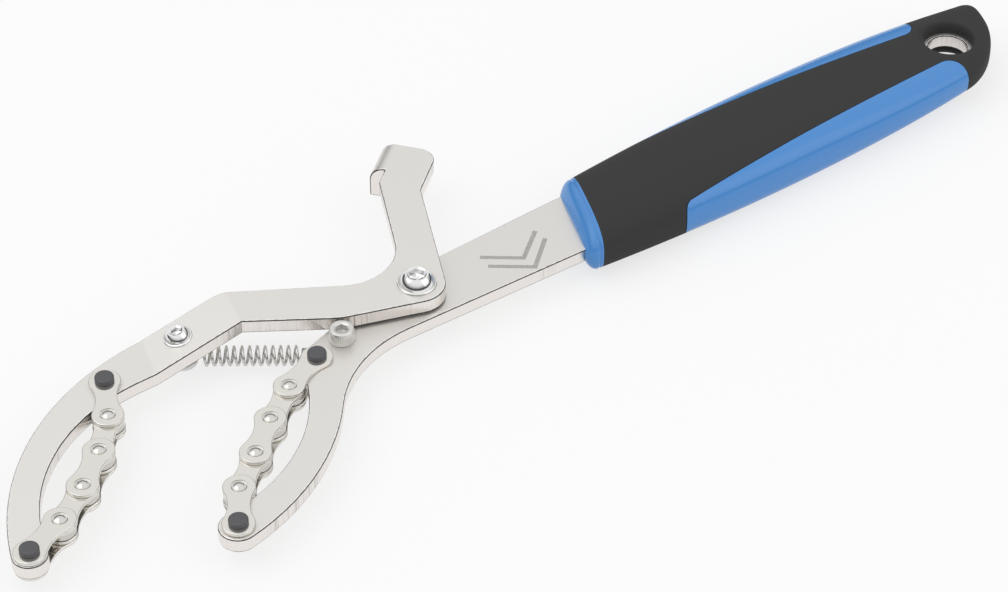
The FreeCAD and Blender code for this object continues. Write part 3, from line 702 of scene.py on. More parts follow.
@dataclass
class Arms:
    """The main arm and the stepped second arm: their plates with rolled edges in painted shade and painted
    highlight, and finishes.
    """

    edge_width: float = 0.34
    edge_steps: int = 3
    edge_angle: float = 40.0
    merge: float = 0.001
    flat_angle: float = 0.5
    fold_angle: float = 4.0
    crease: float = 50.0
    wide_face: float = 40.0
    highlight_slope: float = 0.8
    wall_slope: float = 0.35

    def build(self) -> None:
        """Builds both arms."""
        self.arm("main_arm", Finish.MAIN_FACE)
        self.arm("jaw_arm", Finish.JAW_FACE)

    def arm(self, node: str, face_finish: Finish) -> bpy.types.Object:
        """One arm, from a merged copy of its CAD node.

        Args:
            node: the CAD node.
            face_finish: finish of its broad faces.

        Returns:
            The arm's piece.
        """
        bm = bmesh.new()
        bm.from_mesh(frame["nodes"][node].data)
        bmesh.ops.remove_doubles(bm, verts=bm.verts, dist=self.merge * MM)
        bmesh.ops.dissolve_limit(bm, angle_limit=math.radians(self.flat_angle),
                                 use_dissolve_boundaries=False, verts=bm.verts, edges=bm.edges,
                                 delimit={"NORMAL"})
        for face in bm.faces:
            face.material_index = Skin.WALL if abs(face.normal.z) < self.wall_slope else Skin.FACE
        wide = self.wide_face * MM**2
        for edge in bm.edges:
            if len(edge.link_faces) == 2 and all(face.calc_area() > wide for face in edge.link_faces):
                edge.smooth = edge.calc_face_angle(0.0) < math.radians(self.fold_angle)
        rims = [edge for edge in bm.edges
                if len(edge.link_faces) == 2 and edge.calc_face_angle(0.0) > math.radians(self.edge_angle)]
        made = bmesh.ops.bevel(bm, geom=rims, offset=self.edge_width * MM, offset_type="OFFSET",
                               segments=self.edge_steps, profile=0.5, affect="EDGES",
                               clamp_overlap=False, material=-1)
        bm.normal_update()
        # Rolled-edge faces that face up get a painted highlight, the others a painted shade.
        for face in made["faces"]:
            painted_highlight = abs(face.normal.z) > self.highlight_slope
            face.material_index = Skin.BRIGHT_EDGE if painted_highlight else Skin.DARK_EDGE
        finishes = [face_finish, Finish.WALL, Finish.DARK_EDGE, Finish.BRIGHT_EDGE]
        piece = show(bm, node + "_plate", finishes, BODY_OF[node], crease=self.crease)
        stands_for(piece, node)
        return piece


@dataclass
class Marks:
    """Two plain chevrons etched on the tang, given from the pivot in millimetres."""

    band: float = 1.25
    proud: float = 0.012
    chevrons: tuple[tuple[tuple[float, float], ...], ...] = (
        ((40.6, 3.2), (31.5, -4.0), (22.3, 3.0)),
        ((40.9, -0.8), (31.8, -8.7), (21.9, -1.2)),
    )

    def build(self) -> None:
        """Builds the chevrons on the tang's upper face."""
        pivot = place_of("pivot_nut")
        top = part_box("main_arm")[1].z
        bm = bmesh.new()
        for points in self.chevrons:
            line = [Vector((pivot.x + x * MM, pivot.y + y * MM, top)) for x, y in points]
            self.stroke(bm, line)
        bmesh.ops.recalc_face_normals(bm, faces=bm.faces)
        piece = show(bm, "direction_chevrons", [Finish.MARK], "main")
        log.info("%s lie on the tang", piece.name)

    def stroke(self, bm: bmesh.types.BMesh, line: Sequence[Vector]) -> None:
        """One bent band of even width.

        Args:
            bm: mesh to work in.
            line: start, bend and end of its middle line.
        """
        half = self.band * MM / 2
        ahead = [(b - a).normalized() for a, b in zip(line, line[1:])]
        sides = [UP.cross(way) for way in ahead]
        miter = (sides[0] + sides[1]).normalized()
        miter *= 1 / miter.dot(sides[0])
        offsets = [sides[0], miter, sides[1]]
        left = [bm.verts.new(point + side * half) for point, side in zip(line, offsets)]
        right = [bm.verts.new(point - side * half) for point, side in zip(line, offsets)]
        band = []
        for end in (1, 2):
            corners = [left[end - 1], left[end], right[end], right[end - 1]]
            band += bmesh.ops.contextual_create(bm, geom=corners)["faces"]
        lifted = bmesh.ops.extrude_face_region(bm, geom=band)["geom"]
        moved = [item for item in lifted if isinstance(item, bmesh.types.BMVert)]
        bmesh.ops.translate(bm, verts=moved, vec=UP * self.proud * MM)


# Screws, nuts and the washer


@dataclass
class ButtonScrew:
    """Button-head screw with a domed head and a hexagon socket, standing on zero."""

    node: str
    head_round: float
    head_high: float
    top_round: float
    socket: float
    socket_deep: float
    shank: float
    shank_long: float
    rim_high: float = 0.45
    tail_break: float = 0.5
    base_break: float = 0.12
    rim_break: float = 0.1
    rim_wide: float = 0.35
    dome_steps: int = 12
    flat_break: float = 0.15
    mouth_outer: float = 0.32
    mouth_inner: float = 0.2
    socket_sink: float = 0.22
    drill_share: float = 0.8
    drill_deep: float = 0.35

    def rings(self) -> tuple[Ring, ...]:
        """Rings from the shank's lower end to the bottom of the socket."""
        high = self.head_high
        floor = high - self.socket_deep
        lower = [
            Ring(self.shank - self.tail_break, -self.shank_long),
            Ring(self.shank, -self.shank_long + self.tail_break),
            Ring(self.shank, 0.0),
            Ring(self.head_round - self.base_break, 0.0),
            Ring(self.head_round, self.base_break),
            Ring(self.head_round, self.rim_high - self.rim_break),
            Ring(self.head_round - self.rim_break, self.rim_high),
            Ring(self.head_round - self.rim_wide, self.rim_high + 0.03),
        ]
        upper = [
            Ring(self.top_round - self.flat_break, high + 0.02),
            Ring(self.socket + self.mouth_outer, high + 0.02),
            Ring(self.socket + self.mouth_inner, high - 0.06),
            Ring(self.socket, high - self.socket_sink, Outline.HEXAGON),
            Ring(self.socket, floor, Outline.HEXAGON),
            Ring(self.socket * self.drill_share, floor - 0.05),
            Ring(0.12, floor - self.drill_deep),
        ]
        foot = Ring(self.head_round - self.rim_wide - 0.05, self.rim_high + 0.06)
        middle = dome(foot.radius, foot.level, self.top_round, high, self.dome_steps)
        return tuple(lower + middle + upper)

    def build(self, place: Matrix) -> bpy.types.Object:
        """Builds the screw.

        Args:
            place: matrix from its own frame to the part's.

        Returns:
            The screw's piece.
        """
        bm = Turning(self.rings(), segments=96).mesh(place)
        piece = show(bm, self.node + "_turned", [Finish.CHROME], BODY_OF[self.node])
        stands_for(piece, self.node)
        return piece


@dataclass
class KnurledScrew:
    """Socket-head stop screw with a knurled head and a grooved tail for the spring."""

    node: str = "stop_screw"
    head_round: float = 3.4
    head_high: float = 4.0
    socket: float = 1.75
    socket_deep: float = 2.0
    shank: float = 2.0
    tail: float = 7.2
    groove_deep: float = 0.5
    groove_wide: float = 1.2
    groove_level: float = -5.45

    def rings(self) -> tuple[Ring, ...]:
        """Rings from the tail's lower end to the bottom of the socket."""
        knurl = Outline.KNURL
        high = self.head_high
        floor = high - self.socket_deep
        half = self.groove_wide / 2
        root = self.shank - self.groove_deep
        return (
            Ring(self.shank - 0.4, -self.tail),
            Ring(self.shank, -self.tail + 0.3),
            Ring(self.shank, self.groove_level - half),
            Ring(root, self.groove_level - half + 0.1),
            Ring(root, self.groove_level + half - 0.1),
            Ring(self.shank, self.groove_level + half),
            Ring(self.shank, 0.0),
            Ring(self.head_round - 0.35, 0.0),
            Ring(self.head_round - 0.15, 0.2),
            Ring(self.head_round, 0.4, knurl),
            Ring(self.head_round, high - 1.1, knurl),
            Ring(self.head_round - 0.16, high - 0.95),
            Ring(self.head_round - 0.16, high - 0.45),
            Ring(self.head_round - 0.24, high - 0.2),
            Ring(self.head_round - 0.42, high - 0.04),
            Ring(self.head_round - 0.62, high),
            Ring(self.socket + 0.42, high),
            Ring(self.socket + 0.3, high - 0.03),
            Ring(self.socket, high - 0.3, Outline.HEXAGON),
            Ring(self.socket, floor, Outline.HEXAGON),
            Ring(self.socket * 0.8, floor - 0.05),
            Ring(0.1, floor - 0.3),
        )

    def build(self) -> bpy.types.Object:
        """Builds the screw on the main arm."""
        centre = place_of(self.node)
        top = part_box("main_arm")[1].z
        bm = Turning(self.rings(), segments=216).mesh(Matrix.Translation((centre.x, centre.y, top)))
        piece = show(bm, self.node + "_knurled", [Finish.STOP], BODY_OF[self.node], crease=28.0)
        stands_for(piece, self.node)
        return piece


@dataclass
class Fasteners:
    """Pivot screw with nut and washer, stop screw, and the spring's screw with its flanged nut."""

    step_angle: float = 166.0
    step_start: float = 47.2
    step_end: float = 72.2
    step_drop: float = 4.4
    post_back: float = 59.9
    post_rise: float = 21.3
    arm_thick: float = 4.0
    pivot_clear: float = 0.05
    nut_steps: int = 72
    pivot_nut_profile: tuple[Band, ...] = (
        (3.05, 0.0), (5.05, 0.0), (5.2, -0.15), (5.2, -3.5), (5.12, -3.8),
        (4.85, -4.05), (4.45, -4.2), (3.4, -4.2), (3.05, -3.85),
    )
    spring_nut_profile: tuple[Band, ...] = (
        (2.05, 0.0), (2.5, 0.0), (2.6, -0.1), (2.6, -4.1), (2.75, -4.3), (3.15, -4.3),
        (3.3, -4.45), (3.3, -5.2), (3.2, -5.36), (3.0, -5.4), (2.3, -5.4), (2.05, -5.15),
    )

    def post_place(self, lift: float = 0.0) -> Matrix:
        """Frame on the sloping top of the step, with Z square to it.

        Args:
            lift: distance above the slope, in millimetres.

        Returns:
            The matrix, in metres.
        """
        pivot = place_of("pivot_nut")
        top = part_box("main_arm")[1].z / MM + self.step_drop
        turn = math.radians(self.step_angle)
        down = Vector((math.cos(turn), math.sin(turn), 0.0))
        run = self.step_end - self.step_start
        spot = Vector((-self.post_back, self.post_rise, 0.0))
        level = top - self.step_drop * (spot.dot(down) - self.step_start) / run
        normal = Vector((down.x * self.step_drop, down.y * self.step_drop, run)).normalized()
        tilt = UP.rotation_difference(normal).to_matrix().to_4x4()
        place = Vector((pivot.x + spot.x * MM, pivot.y + spot.y * MM, level * MM))
        return Matrix.Translation(place + normal * lift * MM) @ tilt

    def build(self) -> None:
        """Builds all the fasteners."""
        pivot = place_of("pivot_nut")
        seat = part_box("jaw_arm")[1].z
        screw = ButtonScrew("pivot_screw", head_round=5.2, head_high=3.2, top_round=3.15, socket=2.3,
                            socket_deep=1.8, shank=3.0, shank_long=11.6)
        screw.build(Matrix.Translation((pivot.x, pivot.y, seat + self.pivot_clear * MM)))
        post = ButtonScrew("spring_screw", head_round=3.8, head_high=2.3, top_round=2.3, socket=1.45,
                           socket_deep=1.3, shank=2.0, shank_long=8.05, rim_high=0.35)
        post.build(self.post_place())
        KnurledScrew().build()
        under = Matrix.Translation((pivot.x, pivot.y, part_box("main_arm")[0].z))
        self.nut("pivot_nut", self.pivot_nut_profile, under)
        self.nut("spring_nut", self.spring_nut_profile, self.post_place(-self.arm_thick))
        washer = frame["nodes"]["pivot_washer"]
        washer.data.materials.clear()
        washer.data.materials.append(Finish.NUT.made())
        log.info("pivot_washer keeps its solid with a turned finish")

    def nut(self, node: str, profile: Sequence[Band], place: Matrix) -> bpy.types.Object:
        """One turned nut with an open bore.

        Args:
            node: the CAD node.
            profile: radius and level of each of its rings, from the bore's upper edge round to it.
            place: matrix from its own frame, where its upper end is at zero.

        Returns:
            The nut's piece.
        """
        rings = tuple(Ring(radius, level) for radius, level in profile)
        bm = Turning(rings, segments=self.nut_steps, closed=False).mesh(place)
        piece = show(bm, node + "_turned", [Finish.NUT], BODY_OF[node])
        stands_for(piece, node)
        return piece


# Chain


class Link(Enum):
    """Kinds of link plate."""

    OUTER = "outer"
    INNER = "inner"


@dataclass
class LinkPlate:
    """Waisted plate of a roller chain with soft edges, from its first pin along X."""

    kind: Link
    pitch: float = 12.7
    end_round: float = 4.15
    waist_half: float = 2.8
    thick: float = 0.95
    bore: float = 1.87
    ring_round: float = 2.12
    ring_deep: float = 0.3
    bore_break: float = 0.1
    edge: float = 0.27
    foot_edge: float = 0.1
    end_steps: int = 26
    waist_steps: int = 9
    bore_steps: int = 32

    def outline(self, inset: float, level: float) -> list[Vector]:
        """Outline of the plate, moved inwards.

        Args:
            inset: distance inside the plate's edge, in millimetres.
            level: height of the ring, in millimetres.

        Returns:
            The points in order, in metres.
        """
        end, half, pitch = self.end_round, self.waist_half, self.pitch
        waist = (pitch**2 / 4 + half**2 - end**2) / (2 * (end - half))
        lean = math.acos(pitch / 2 / (end + waist))
        sweep = 2 * math.pi - 2 * lean
        turn = math.pi - 2 * lean
        arcs = (
            (0.0, 0.0, end - inset, lean, sweep, self.end_steps),
            (pitch / 2, -half - waist, waist + inset, math.pi - lean, -turn, self.waist_steps),
            (pitch, 0.0, end - inset, lean - math.pi, sweep, self.end_steps),
            (pitch / 2, half + waist, waist + inset, -lean, -turn, self.waist_steps),
        )
        points = []
        for x, y, radius, start, span, steps in arcs:
            for step in range(steps):
                angle = start + span * step / steps
                place = Vector((x + radius * math.cos(angle), y + radius * math.sin(angle), level))
                points.append(place * MM)
        return points

    def circle(self, x: float, radius: float, level: float) -> list[Vector]:
        """Points of a bore's ring, in metres."""
        angles = [2 * math.pi * step / self.bore_steps for step in range(self.bore_steps)]
        return [Vector((x + radius * math.cos(a), radius * math.sin(a), level)) * MM for a in angles]

    def mesh(self, place: Matrix) -> bmesh.types.BMesh:
        """Builds the plate.

        Args:
            place: matrix that puts it in its place.

        Returns:
            The mesh, in metres.
        """
        bm = bmesh.new()
        top = self.thick
        skin = RingLoft(bm, self.outline(self.edge, top))
        for turn in (30, 60, 90):
            slope = math.radians(turn)
            inset = self.edge * (1 - math.sin(slope))
            skin.pull(self.outline(inset, top - self.edge * (1 - math.cos(slope))))
        skin.pull(self.outline(0.0, self.foot_edge))
        skin.pull(self.outline(self.foot_edge, 0.0))
        upper, lower = list(skin.first), list(skin.edges)
        outer = self.kind is Link.OUTER
        mouth = self.ring_round if outer else self.bore + self.bore_break
        deep = self.ring_deep if outer else self.bore_break
        for x in (0.0, self.pitch):
            hole = RingLoft(bm, self.circle(x, mouth, top))
            hole.pull(self.circle(x, mouth, top - deep + self.bore_break))
            hole.pull(self.circle(x, self.bore, top - deep))
            hole.pull(self.circle(x, self.bore, 0.0))
            upper += hole.first
            lower += hole.edges
        bmesh.ops.triangle_fill(bm, use_beauty=True, edges=upper)
        bmesh.ops.triangle_fill(bm, use_beauty=True, edges=lower)
        bmesh.ops.recalc_face_normals(bm, faces=bm.faces)
        bmesh.ops.transform(bm, matrix=place, verts=bm.verts)
        return bm


@dataclass
class ChainRun:
    """Chain of one hook: ten plates, four rivets, four rollers and two black end pins."""

    arm: str
    rivet_round: float = 1.84
    rivet_dome: float = 1.4
    rivet_rise: float = 0.42
    roller_round: float = 3.85
    roller_bore: float = 1.86
    pin_round: float = 1.8
    cap_round: float = 2.5
    cap_high: float = 1.4
    foot_round: float = 2.4
    foot_high: float = 0.45

    def build(self) -> None:
        """Builds the whole chain of the arm."""
        pins = chain_places(self.arm)
        for number in range(1, 6):
            start, end = pins[number - 1], pins[number]
            angle = math.atan2(end.y - start.y, end.x - start.x)
            kind = Link.OUTER if number % 2 else Link.INNER
            for side in ("upper", "lower"):
                self.plate(f"{self.arm}_link_{number}_plate_{side}", kind, start, angle, side == "lower")
        for number in range(2, 6):
            self.rivet(f"{self.arm}_rivet_{number}")
            self.roller(f"{self.arm}_roller_{number}")
        for end_name in ("root", "tip"):
            self.end_pin(f"{self.arm}_end_pin_{end_name}")

    def plate(self, node: str, kind: Link, start: Vector, angle: float, turned: bool) -> None:
        """One link plate.

        Args:
            node: the CAD node.
            kind: outer or inner plate.
            start: axis of its first pin.
            angle: direction of the link.
            turned: whether its finished face looks down.
        """
        low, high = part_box(node)
        place = Matrix.Translation((start.x, start.y, low.z)) @ Matrix.Rotation(angle, 4, "Z")
        if turned:
            flip = Matrix.Rotation(math.pi, 4, "X")
            place = Matrix.Translation((start.x, start.y, high.z)) @ Matrix.Rotation(angle, 4, "Z") @ flip
        piece = show(LinkPlate(kind).mesh(place), node + "_pressed", [Finish.PLATE], BODY_OF[node],
                     crease=40.0)
        stands_for(piece, node)

    def rivet(self, node: str) -> None:
        """One riveted pin with a domed head at each end."""
        centre = place_of(node)
        half = (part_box(node)[1].z - centre.z) / MM
        radius = self.rivet_round
        inner = self.rivet_dome
        head = [
            Ring(radius, half - 0.12), Ring(radius - 0.06, half - 0.02), Ring(radius - 0.14, half + 0.02),
            Ring(inner + 0.12, half + 0.02), Ring(inner + 0.04, half - 0.03),
        ]
        head += dome(inner, half - 0.02, 0.15, half + self.rivet_rise, 8)
        lower = [Ring(ring.radius, -ring.level) for ring in reversed(head)]
        bm = Turning(tuple(lower + head), segments=40).mesh(Matrix.Translation(centre))
        piece = show(bm, node + "_domed", [Finish.RIVET], BODY_OF[node])
        stands_for(piece, node)

    def roller(self, node: str) -> None:
        """One roller, open in the middle."""
        centre = place_of(node)
        half = (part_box(node)[1].z - centre.z) / MM
        radius, bore = self.roller_round, self.roller_bore
        rings = (
            Ring(bore + 0.09, half), Ring(radius - 0.25, half), Ring(radius - 0.07, half - 0.07),
            Ring(radius, half - 0.25), Ring(radius, 0.25 - half), Ring(radius - 0.07, 0.07 - half),
            Ring(radius - 0.25, -half), Ring(bore + 0.09, -half), Ring(bore, 0.1 - half),
            Ring(bore, half - 0.1),
        )
        bm = Turning(rings, segments=48, closed=False).mesh(Matrix.Translation(centre))
        piece = show(bm, node + "_rolled", [Finish.ROLLER], BODY_OF[node])
        stands_for(piece, node)

    def end_pin(self, node: str) -> None:
        """One black end pin with its thick round cap and riveted foot."""
        centre = place_of(node)
        low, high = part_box(node)
        top = high.z / MM
        foot = low.z / MM
        base = top - self.cap_high
        cap, shank, wide = self.cap_round, self.pin_round, self.foot_round
        rings = (
            Ring(shank - 0.5, foot), Ring(wide - 0.4, foot), Ring(wide - 0.1, foot + 0.12),
            Ring(wide, foot + 0.3), Ring(wide, foot + self.foot_high - 0.02),
            Ring(shank, foot + self.foot_high), Ring(shank, base), Ring(cap - 0.15, base),
            Ring(cap, base + 0.12),
            Ring(cap, top - 0.42), Ring(cap - 0.07, top - 0.2), Ring(cap - 0.22, top - 0.07),
            Ring(cap - 0.42, top - 0.01), Ring(cap - 0.9, top), Ring(0.2, top - 0.03),
        )
        bm = Turning(rings, segments=56).mesh(Matrix.Translation((centre.x, centre.y, 0.0)))
        piece = show(bm, node + "_blackened", [Finish.PIN], BODY_OF[node])
        stands_for(piece, node)


# Spring


@dataclass
class TensionSpring:
    """Tension spring, drawn a little open, with a half-ring hook at each end."""

    level: float = -3.45
    coil_round: float = 2.8
    wire_round: float = 0.4
    pitch: float = 2.0
    turns: int = 13
    start: float = 4.6
    post_ring: float = 3.35
    stop_ring: float = 2.1
    turn_steps: int = 30
    hook_steps: int = 14

    def path(self, reach: float) -> list[Vector]:
        """Middle line of the wire, from the post at the origin along X to the stop.

        Args:
            reach: distance from the post to the stop, in millimetres.

        Returns:
            Points in millimetres.
        """
        coil = self.coil_round - self.wire_round
        end = self.start + self.turns * self.pitch
        points = self.hook(0.0, self.post_ring, 270)
        total = self.turns * self.turn_steps
        for step in range(total + 1):
            angle = 2 * math.pi * step / self.turn_steps
            along = self.start + (end - self.start) * step / total
            points.append(Vector((along, coil * math.cos(angle), coil * math.sin(angle))))
        return points + self.hook(reach, self.stop_ring, 90)

    def hook(self, along: float, ring: float, first: float) -> list[Vector]:
        """Half ring of wire round one post.

        Args:
            along: place of the post on the spring's axis, in millimetres.
            ring: radius of the wire's middle line, in millimetres.
            first: angle at which it starts, in degrees.

        Returns:
            Points in millimetres.
        """
        angles = [math.radians(first - 180 * step / self.hook_steps) for step in range(self.hook_steps + 1)]
        return [Vector((along + ring * math.cos(a), ring * math.sin(a), 0.0)) for a in angles]

    def build(self, post_place: Matrix) -> bpy.types.Object:
        """Builds the spring between the two posts.

        Args:
            post_place: frame of the spring screw on the slope.

        Returns:
            The spring's piece.
        """
        axis = post_place.to_3x3() @ UP
        top = post_place.to_translation()
        post = top + axis * ((self.level * MM - top.z) / axis.z)
        stop = place_of("stop_screw")
        stop.z = self.level * MM
        along = stop - post
        place = Matrix.Translation(post) @ Matrix.Rotation(math.atan2(along.y, along.x), 4, "Z")
        line = self.path(along.length / MM)
        curve = bpy.data.curves.new("spring_line", "CURVE")
        curve.dimensions = "3D"
        curve.bevel_depth = self.wire_round * MM
        curve.bevel_resolution = 3
        curve.use_fill_caps = True
        spline = curve.splines.new("POLY")
        spline.points.add(len(line) - 1)
        for point, spot in zip(spline.points, line):
            point.co = (*(place @ (spot * MM)), 1.0)
        wire = bpy.data.objects.new("spring_line", curve)
        bpy.context.scene.collection.objects.link(wire)
        mesh = bpy.data.meshes.new_from_object(wire)
        bpy.data.objects.remove(wire)
        mesh.name = "return_spring_wound"
        for polygon in mesh.polygons:
            polygon.use_smooth = True
        mesh.materials.clear()
        mesh.materials.append(Finish.WIRE.made())
        piece = bpy.data.objects.new("return_spring_wound", mesh)
        bpy.context.scene.collection.objects.link(piece)
        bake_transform(piece)
        stands_for(piece, "return_spring")
        return piece


# Grip


def carve(piece: bpy.types.Object, tool: bpy.types.Object, operation: str) -> None:
    """Applies a boolean to a piece's mesh.

    Args:
        piece: object whose mesh changes.
        tool: object that cuts it or meets it.
        operation: DIFFERENCE, INTERSECT or UNION.
    """
    modifier = piece.modifiers.new("carve", "BOOLEAN")
    modifier.object = tool
    modifier.operation = operation
    modifier.solver = "EXACT"
    depsgraph = bpy.context.evaluated_depsgraph_get()
    mesh = bpy.data.meshes.new_from_object(piece.evaluated_get(depsgraph))
    piece.modifiers.clear()
    piece.data = mesh


def loose(bm: bmesh.types.BMesh, name: str) -> bpy.types.Object:
    """Object for carving, made of a bmesh that is freed."""
    mesh = bpy.data.meshes.new(name)
    bm.to_mesh(mesh)
    bm.free()
    tool = bpy.data.objects.new(name, mesh)
    bpy.context.scene.collection.objects.link(tool)
    return tool


@dataclass
class Grip:
    """Moulded grip: hard blue collar and side panels, and the soft black cover."""

    front: float = 50.8
    tail: float = 15.5
    slant: float = 20.0
    collar_long: float = 4.8
    collar_half: float = 11.8
    collar_thick: float = 3.1
    half_sizes: tuple[float, float, float] = (13.9, 17.0, 12.3)
    thick_sizes: tuple[float, float, float] = (7.1, 8.2, 4.8)
    half_power: float = 2.8
    thick_power: float = 1.5
    belly: float = 0.47
    squareness: float = 3.0
    upper_corner: float = 5.0
    lower_corner: float = 14.0
    end_round: float = 2.6
    panel_start: float = 26.0
    panel_tail: float = 4.8
    panel_half_start: float = 14.4
    panel_half_end: float = 7.5
    panel_front_corner: float = 3.0
    panel_rear_corner: float = 5.0
    panel_corner_steps: int = 12
    seam: float = 0.16
    cover_gap: float = 0.03
    funnel_round: float = 6.9
    funnel_rim: float = 8.6
    funnel_throat: float = 1.4
    funnel_high: float = 2.4
    funnel_flare: float = 1.15
    funnel_steps: int = 8
    groove_place: float = 3.85
    groove_wide: float = 0.28
    groove_deep: float = 0.28
    lip: float = 0.35
    lip_out: float = 0.12
    collar_steps: int = 26
    collar_crowding: float = 1.6
    collar_sweep: float = 3.2
    around: int = 120
    stations: int = 84
    rear_steps: int = 26
    crease: float = 38.0
    merge: float = 0.002

    def long(self) -> float:
        """Length of the grip on its centre line."""
        return -place_of("pivot_nut").x / MM - self.front + self.tail

    def swell(self, along: float, sizes: tuple[float, float, float], power: float) -> float:
        """A size of the section that grows to the belly and falls off behind it.

        Args:
            along: distance from the grip's front, in millimetres.
            sizes: the size at the front, at the belly and at the end.
            power: how late it falls off behind the belly.

        Returns:
            The size, in millimetres.
        """
        front, middle, end = sizes
        share = min(along / self.long(), 1.0)
        if share < self.belly:
            return middle - (middle - front) * (1 - share / self.belly)**2
        return middle - (middle - end) * ((share - self.belly) / (1 - self.belly))**power

    def section(self, along: float, left: float, right: float, thick: float) -> list[Vector]:
        """Oval section of the grip in its slanted plane.

        Args:
            along: distance from the grip's front on the centre line.
            left: how far it reaches to the left.
            right: how far it reaches to the right.
            thick: half its thickness.

        Returns:
            The points in order, in metres.
        """
        pivot = place_of("pivot_nut").x / MM
        lean = math.tan(math.radians(self.slant))
        power = 2 / self.squareness
        points = []
        for index in range(self.around):
            angle = 2 * math.pi * index / self.around
            across = math.copysign(abs(math.cos(angle))**power, math.cos(angle))
            rise = math.copysign(abs(math.sin(angle))**power, math.sin(angle))
            y = (left - right) / 2 + across * (left + right) / 2
            x = pivot + self.front + along + y * lean
            points.append(Vector((x, y, rise * thick)) * MM)
        return points

    def corner_loss(self, left_over: float, radius: float) -> float:
        """How far a rounded corner steps in.

        Args:
            left_over: distance before the end.
            radius: radius of the corner.

        Returns:
            The distance, in millimetres.
        """
        if left_over >= radius:
            return 0.0
        return radius - math.sqrt(radius**2 - (radius - left_over)**2)

    def full_section(self, along: float) -> list[Vector]:
        """Section of the finished grip, with the corners of its rear end.

        Args:
            along: distance from the grip's front.

        Returns:
            The points in order, in metres.
        """
        over = self.long() - along
        half = self.swell(along, self.half_sizes, self.half_power)
        thick = self.swell(along, self.thick_sizes, self.thick_power)
        left = half - self.corner_loss(over, self.upper_corner)
        right = half - self.corner_loss(over, self.lower_corner)
        return self.section(along, left, right, thick - self.corner_loss(over, self.end_round))

    def form(self, start: float, name: str) -> bpy.types.Object:
        """Closed smooth form of the grip from a station to its rear end.

        Args:
            start: distance of the station from the grip's front.
            name: name of the form.

        Returns:
            The form, for carving.
        """
        long = self.long()
        rear = self.lower_corner
        places = [start + (long - rear - start) * step / self.stations for step in range(self.stations)]
        for step in range(self.rear_steps + 1):
            places.append(long - rear + rear * math.sin(math.pi / 2 * step / self.rear_steps))
        bm = bmesh.new()
        loft = RingLoft(bm, self.full_section(places[0]))
        for along in places[1:]:
            loft.pull(self.full_section(min(along, long - 0.002)))
        loft.cap_first()
        loft.cap_last()
        bmesh.ops.recalc_face_normals(bm, faces=bm.faces)
        return loose(bm, name)

    def panel_block(self, side: int, grow: float) -> bpy.types.Object:
        """Upright block whose plan is one side panel's field.

        Args:
            side: 1 for the left panel and -1 for the right one.
            grow: how much larger than the panel it is.

        Returns:
            The block as a carving tool.
        """
        pivot = place_of("pivot_nut").x / MM
        start = pivot + self.front + self.panel_start - grow
        end = -self.panel_tail + grow
        wide = 2 * self.half_sizes[1]
        plan = (
            (start, self.panel_half_start - grow, self.panel_front_corner),
            (end, self.panel_half_end - grow, self.panel_rear_corner),
            (end, wide, 0.0),
            (start, wide, 0.0),
        )
        bm = bmesh.new()
        corners = [bm.verts.new(Vector((x, side * y, -2 * self.thick_sizes[1])) * MM) for x, y, _ in plan]
        bmesh.ops.contextual_create(bm, geom=corners)
        for vert, (_, _, radius) in zip(corners, plan):
            if radius:
                bmesh.ops.bevel(bm, geom=[vert], offset=radius * MM, offset_type="OFFSET",
                                segments=self.panel_corner_steps, profile=0.5, affect="VERTICES",
                                clamp_overlap=False, material=-1)
        grown = bmesh.ops.extrude_face_region(bm, geom=list(bm.faces))["geom"]
        moved = [item for item in grown if isinstance(item, bmesh.types.BMVert)]
        bmesh.ops.translate(bm, verts=moved, vec=Vector((0, 0, 4 * self.thick_sizes[1] * MM)))
        bmesh.ops.recalc_face_normals(bm, faces=bm.faces)
        return loose(bm, f"panel_block_{side}")

    def funnel(self) -> bpy.types.Object:
        """Flared opening about the hanging hole, as a carving tool."""
        flare = []
        reach = self.funnel_rim - self.funnel_round
        half = self.thick_sizes[2]
        for step in range(self.funnel_steps + 1):
            turn = math.pi / 2 * step / self.funnel_steps
            flare.append(Ring(self.funnel_round + reach * (1 - math.cos(turn)) * self.funnel_flare,
                              half - self.funnel_throat + self.funnel_high * math.sin(turn)))
        flare.append(Ring(flare[-1].radius + 1.5, half + 3.5))
        below = [Ring(ring.radius, -ring.level) for ring in reversed(flare)]
        bm = Turning(tuple(below + flare), segments=72).mesh(Matrix.Identity(4))
        return loose(bm, "funnel_tool")

    def collar(self) -> bpy.types.Object:
        """Blue collar with its swept front and the fine groove before the cover."""
        edge_half = self.swell(self.collar_long, self.half_sizes, self.half_power)
        edge_thick = self.swell(self.collar_long, self.thick_sizes, self.thick_power)
        bm = bmesh.new()
        lip_half = self.collar_half - self.lip
        loft = RingLoft(bm, self.section(-self.lip_out, lip_half, lip_half, self.collar_thick - self.lip))
        for step in range(self.collar_steps + 1):
            share = (step / self.collar_steps)**self.collar_crowding
            along = self.collar_long * share
            rise = 1 - (1 - share)**self.collar_sweep
            half = self.collar_half + (edge_half - self.collar_half) * rise
            thick = self.collar_thick + (edge_thick - self.collar_thick) * rise
            sink = self.groove_deep * math.exp(-((along - self.groove_place) / self.groove_wide)**2)
            loft.pull(self.section(along, half - sink, half - sink, thick - sink))
        loft.cap_first()
        loft.cap_last()
        bmesh.ops.recalc_face_normals(bm, faces=bm.faces)
        return loose(bm, "collar_form")

    def dress(self, tool: bpy.types.Object, name: str, node: str, finish: Finish) -> bpy.types.Object:
        """Turns a carved form into a finished piece.

        Args:
            tool: the carved form, which is removed.
            name: name of the piece.
            node: CAD node that it stands for.
            finish: its finish.

        Returns:
            The piece.
        """
        bm = bmesh.new()
        bm.from_mesh(tool.data)
        bpy.data.objects.remove(tool)
        bmesh.ops.remove_doubles(bm, verts=bm.verts, dist=self.merge * MM)
        for face in bm.faces:
            face.material_index = 0
        piece = show(bm, name, [finish], BODY_OF[node], crease=self.crease)
        stands_for(piece, node)
        return piece

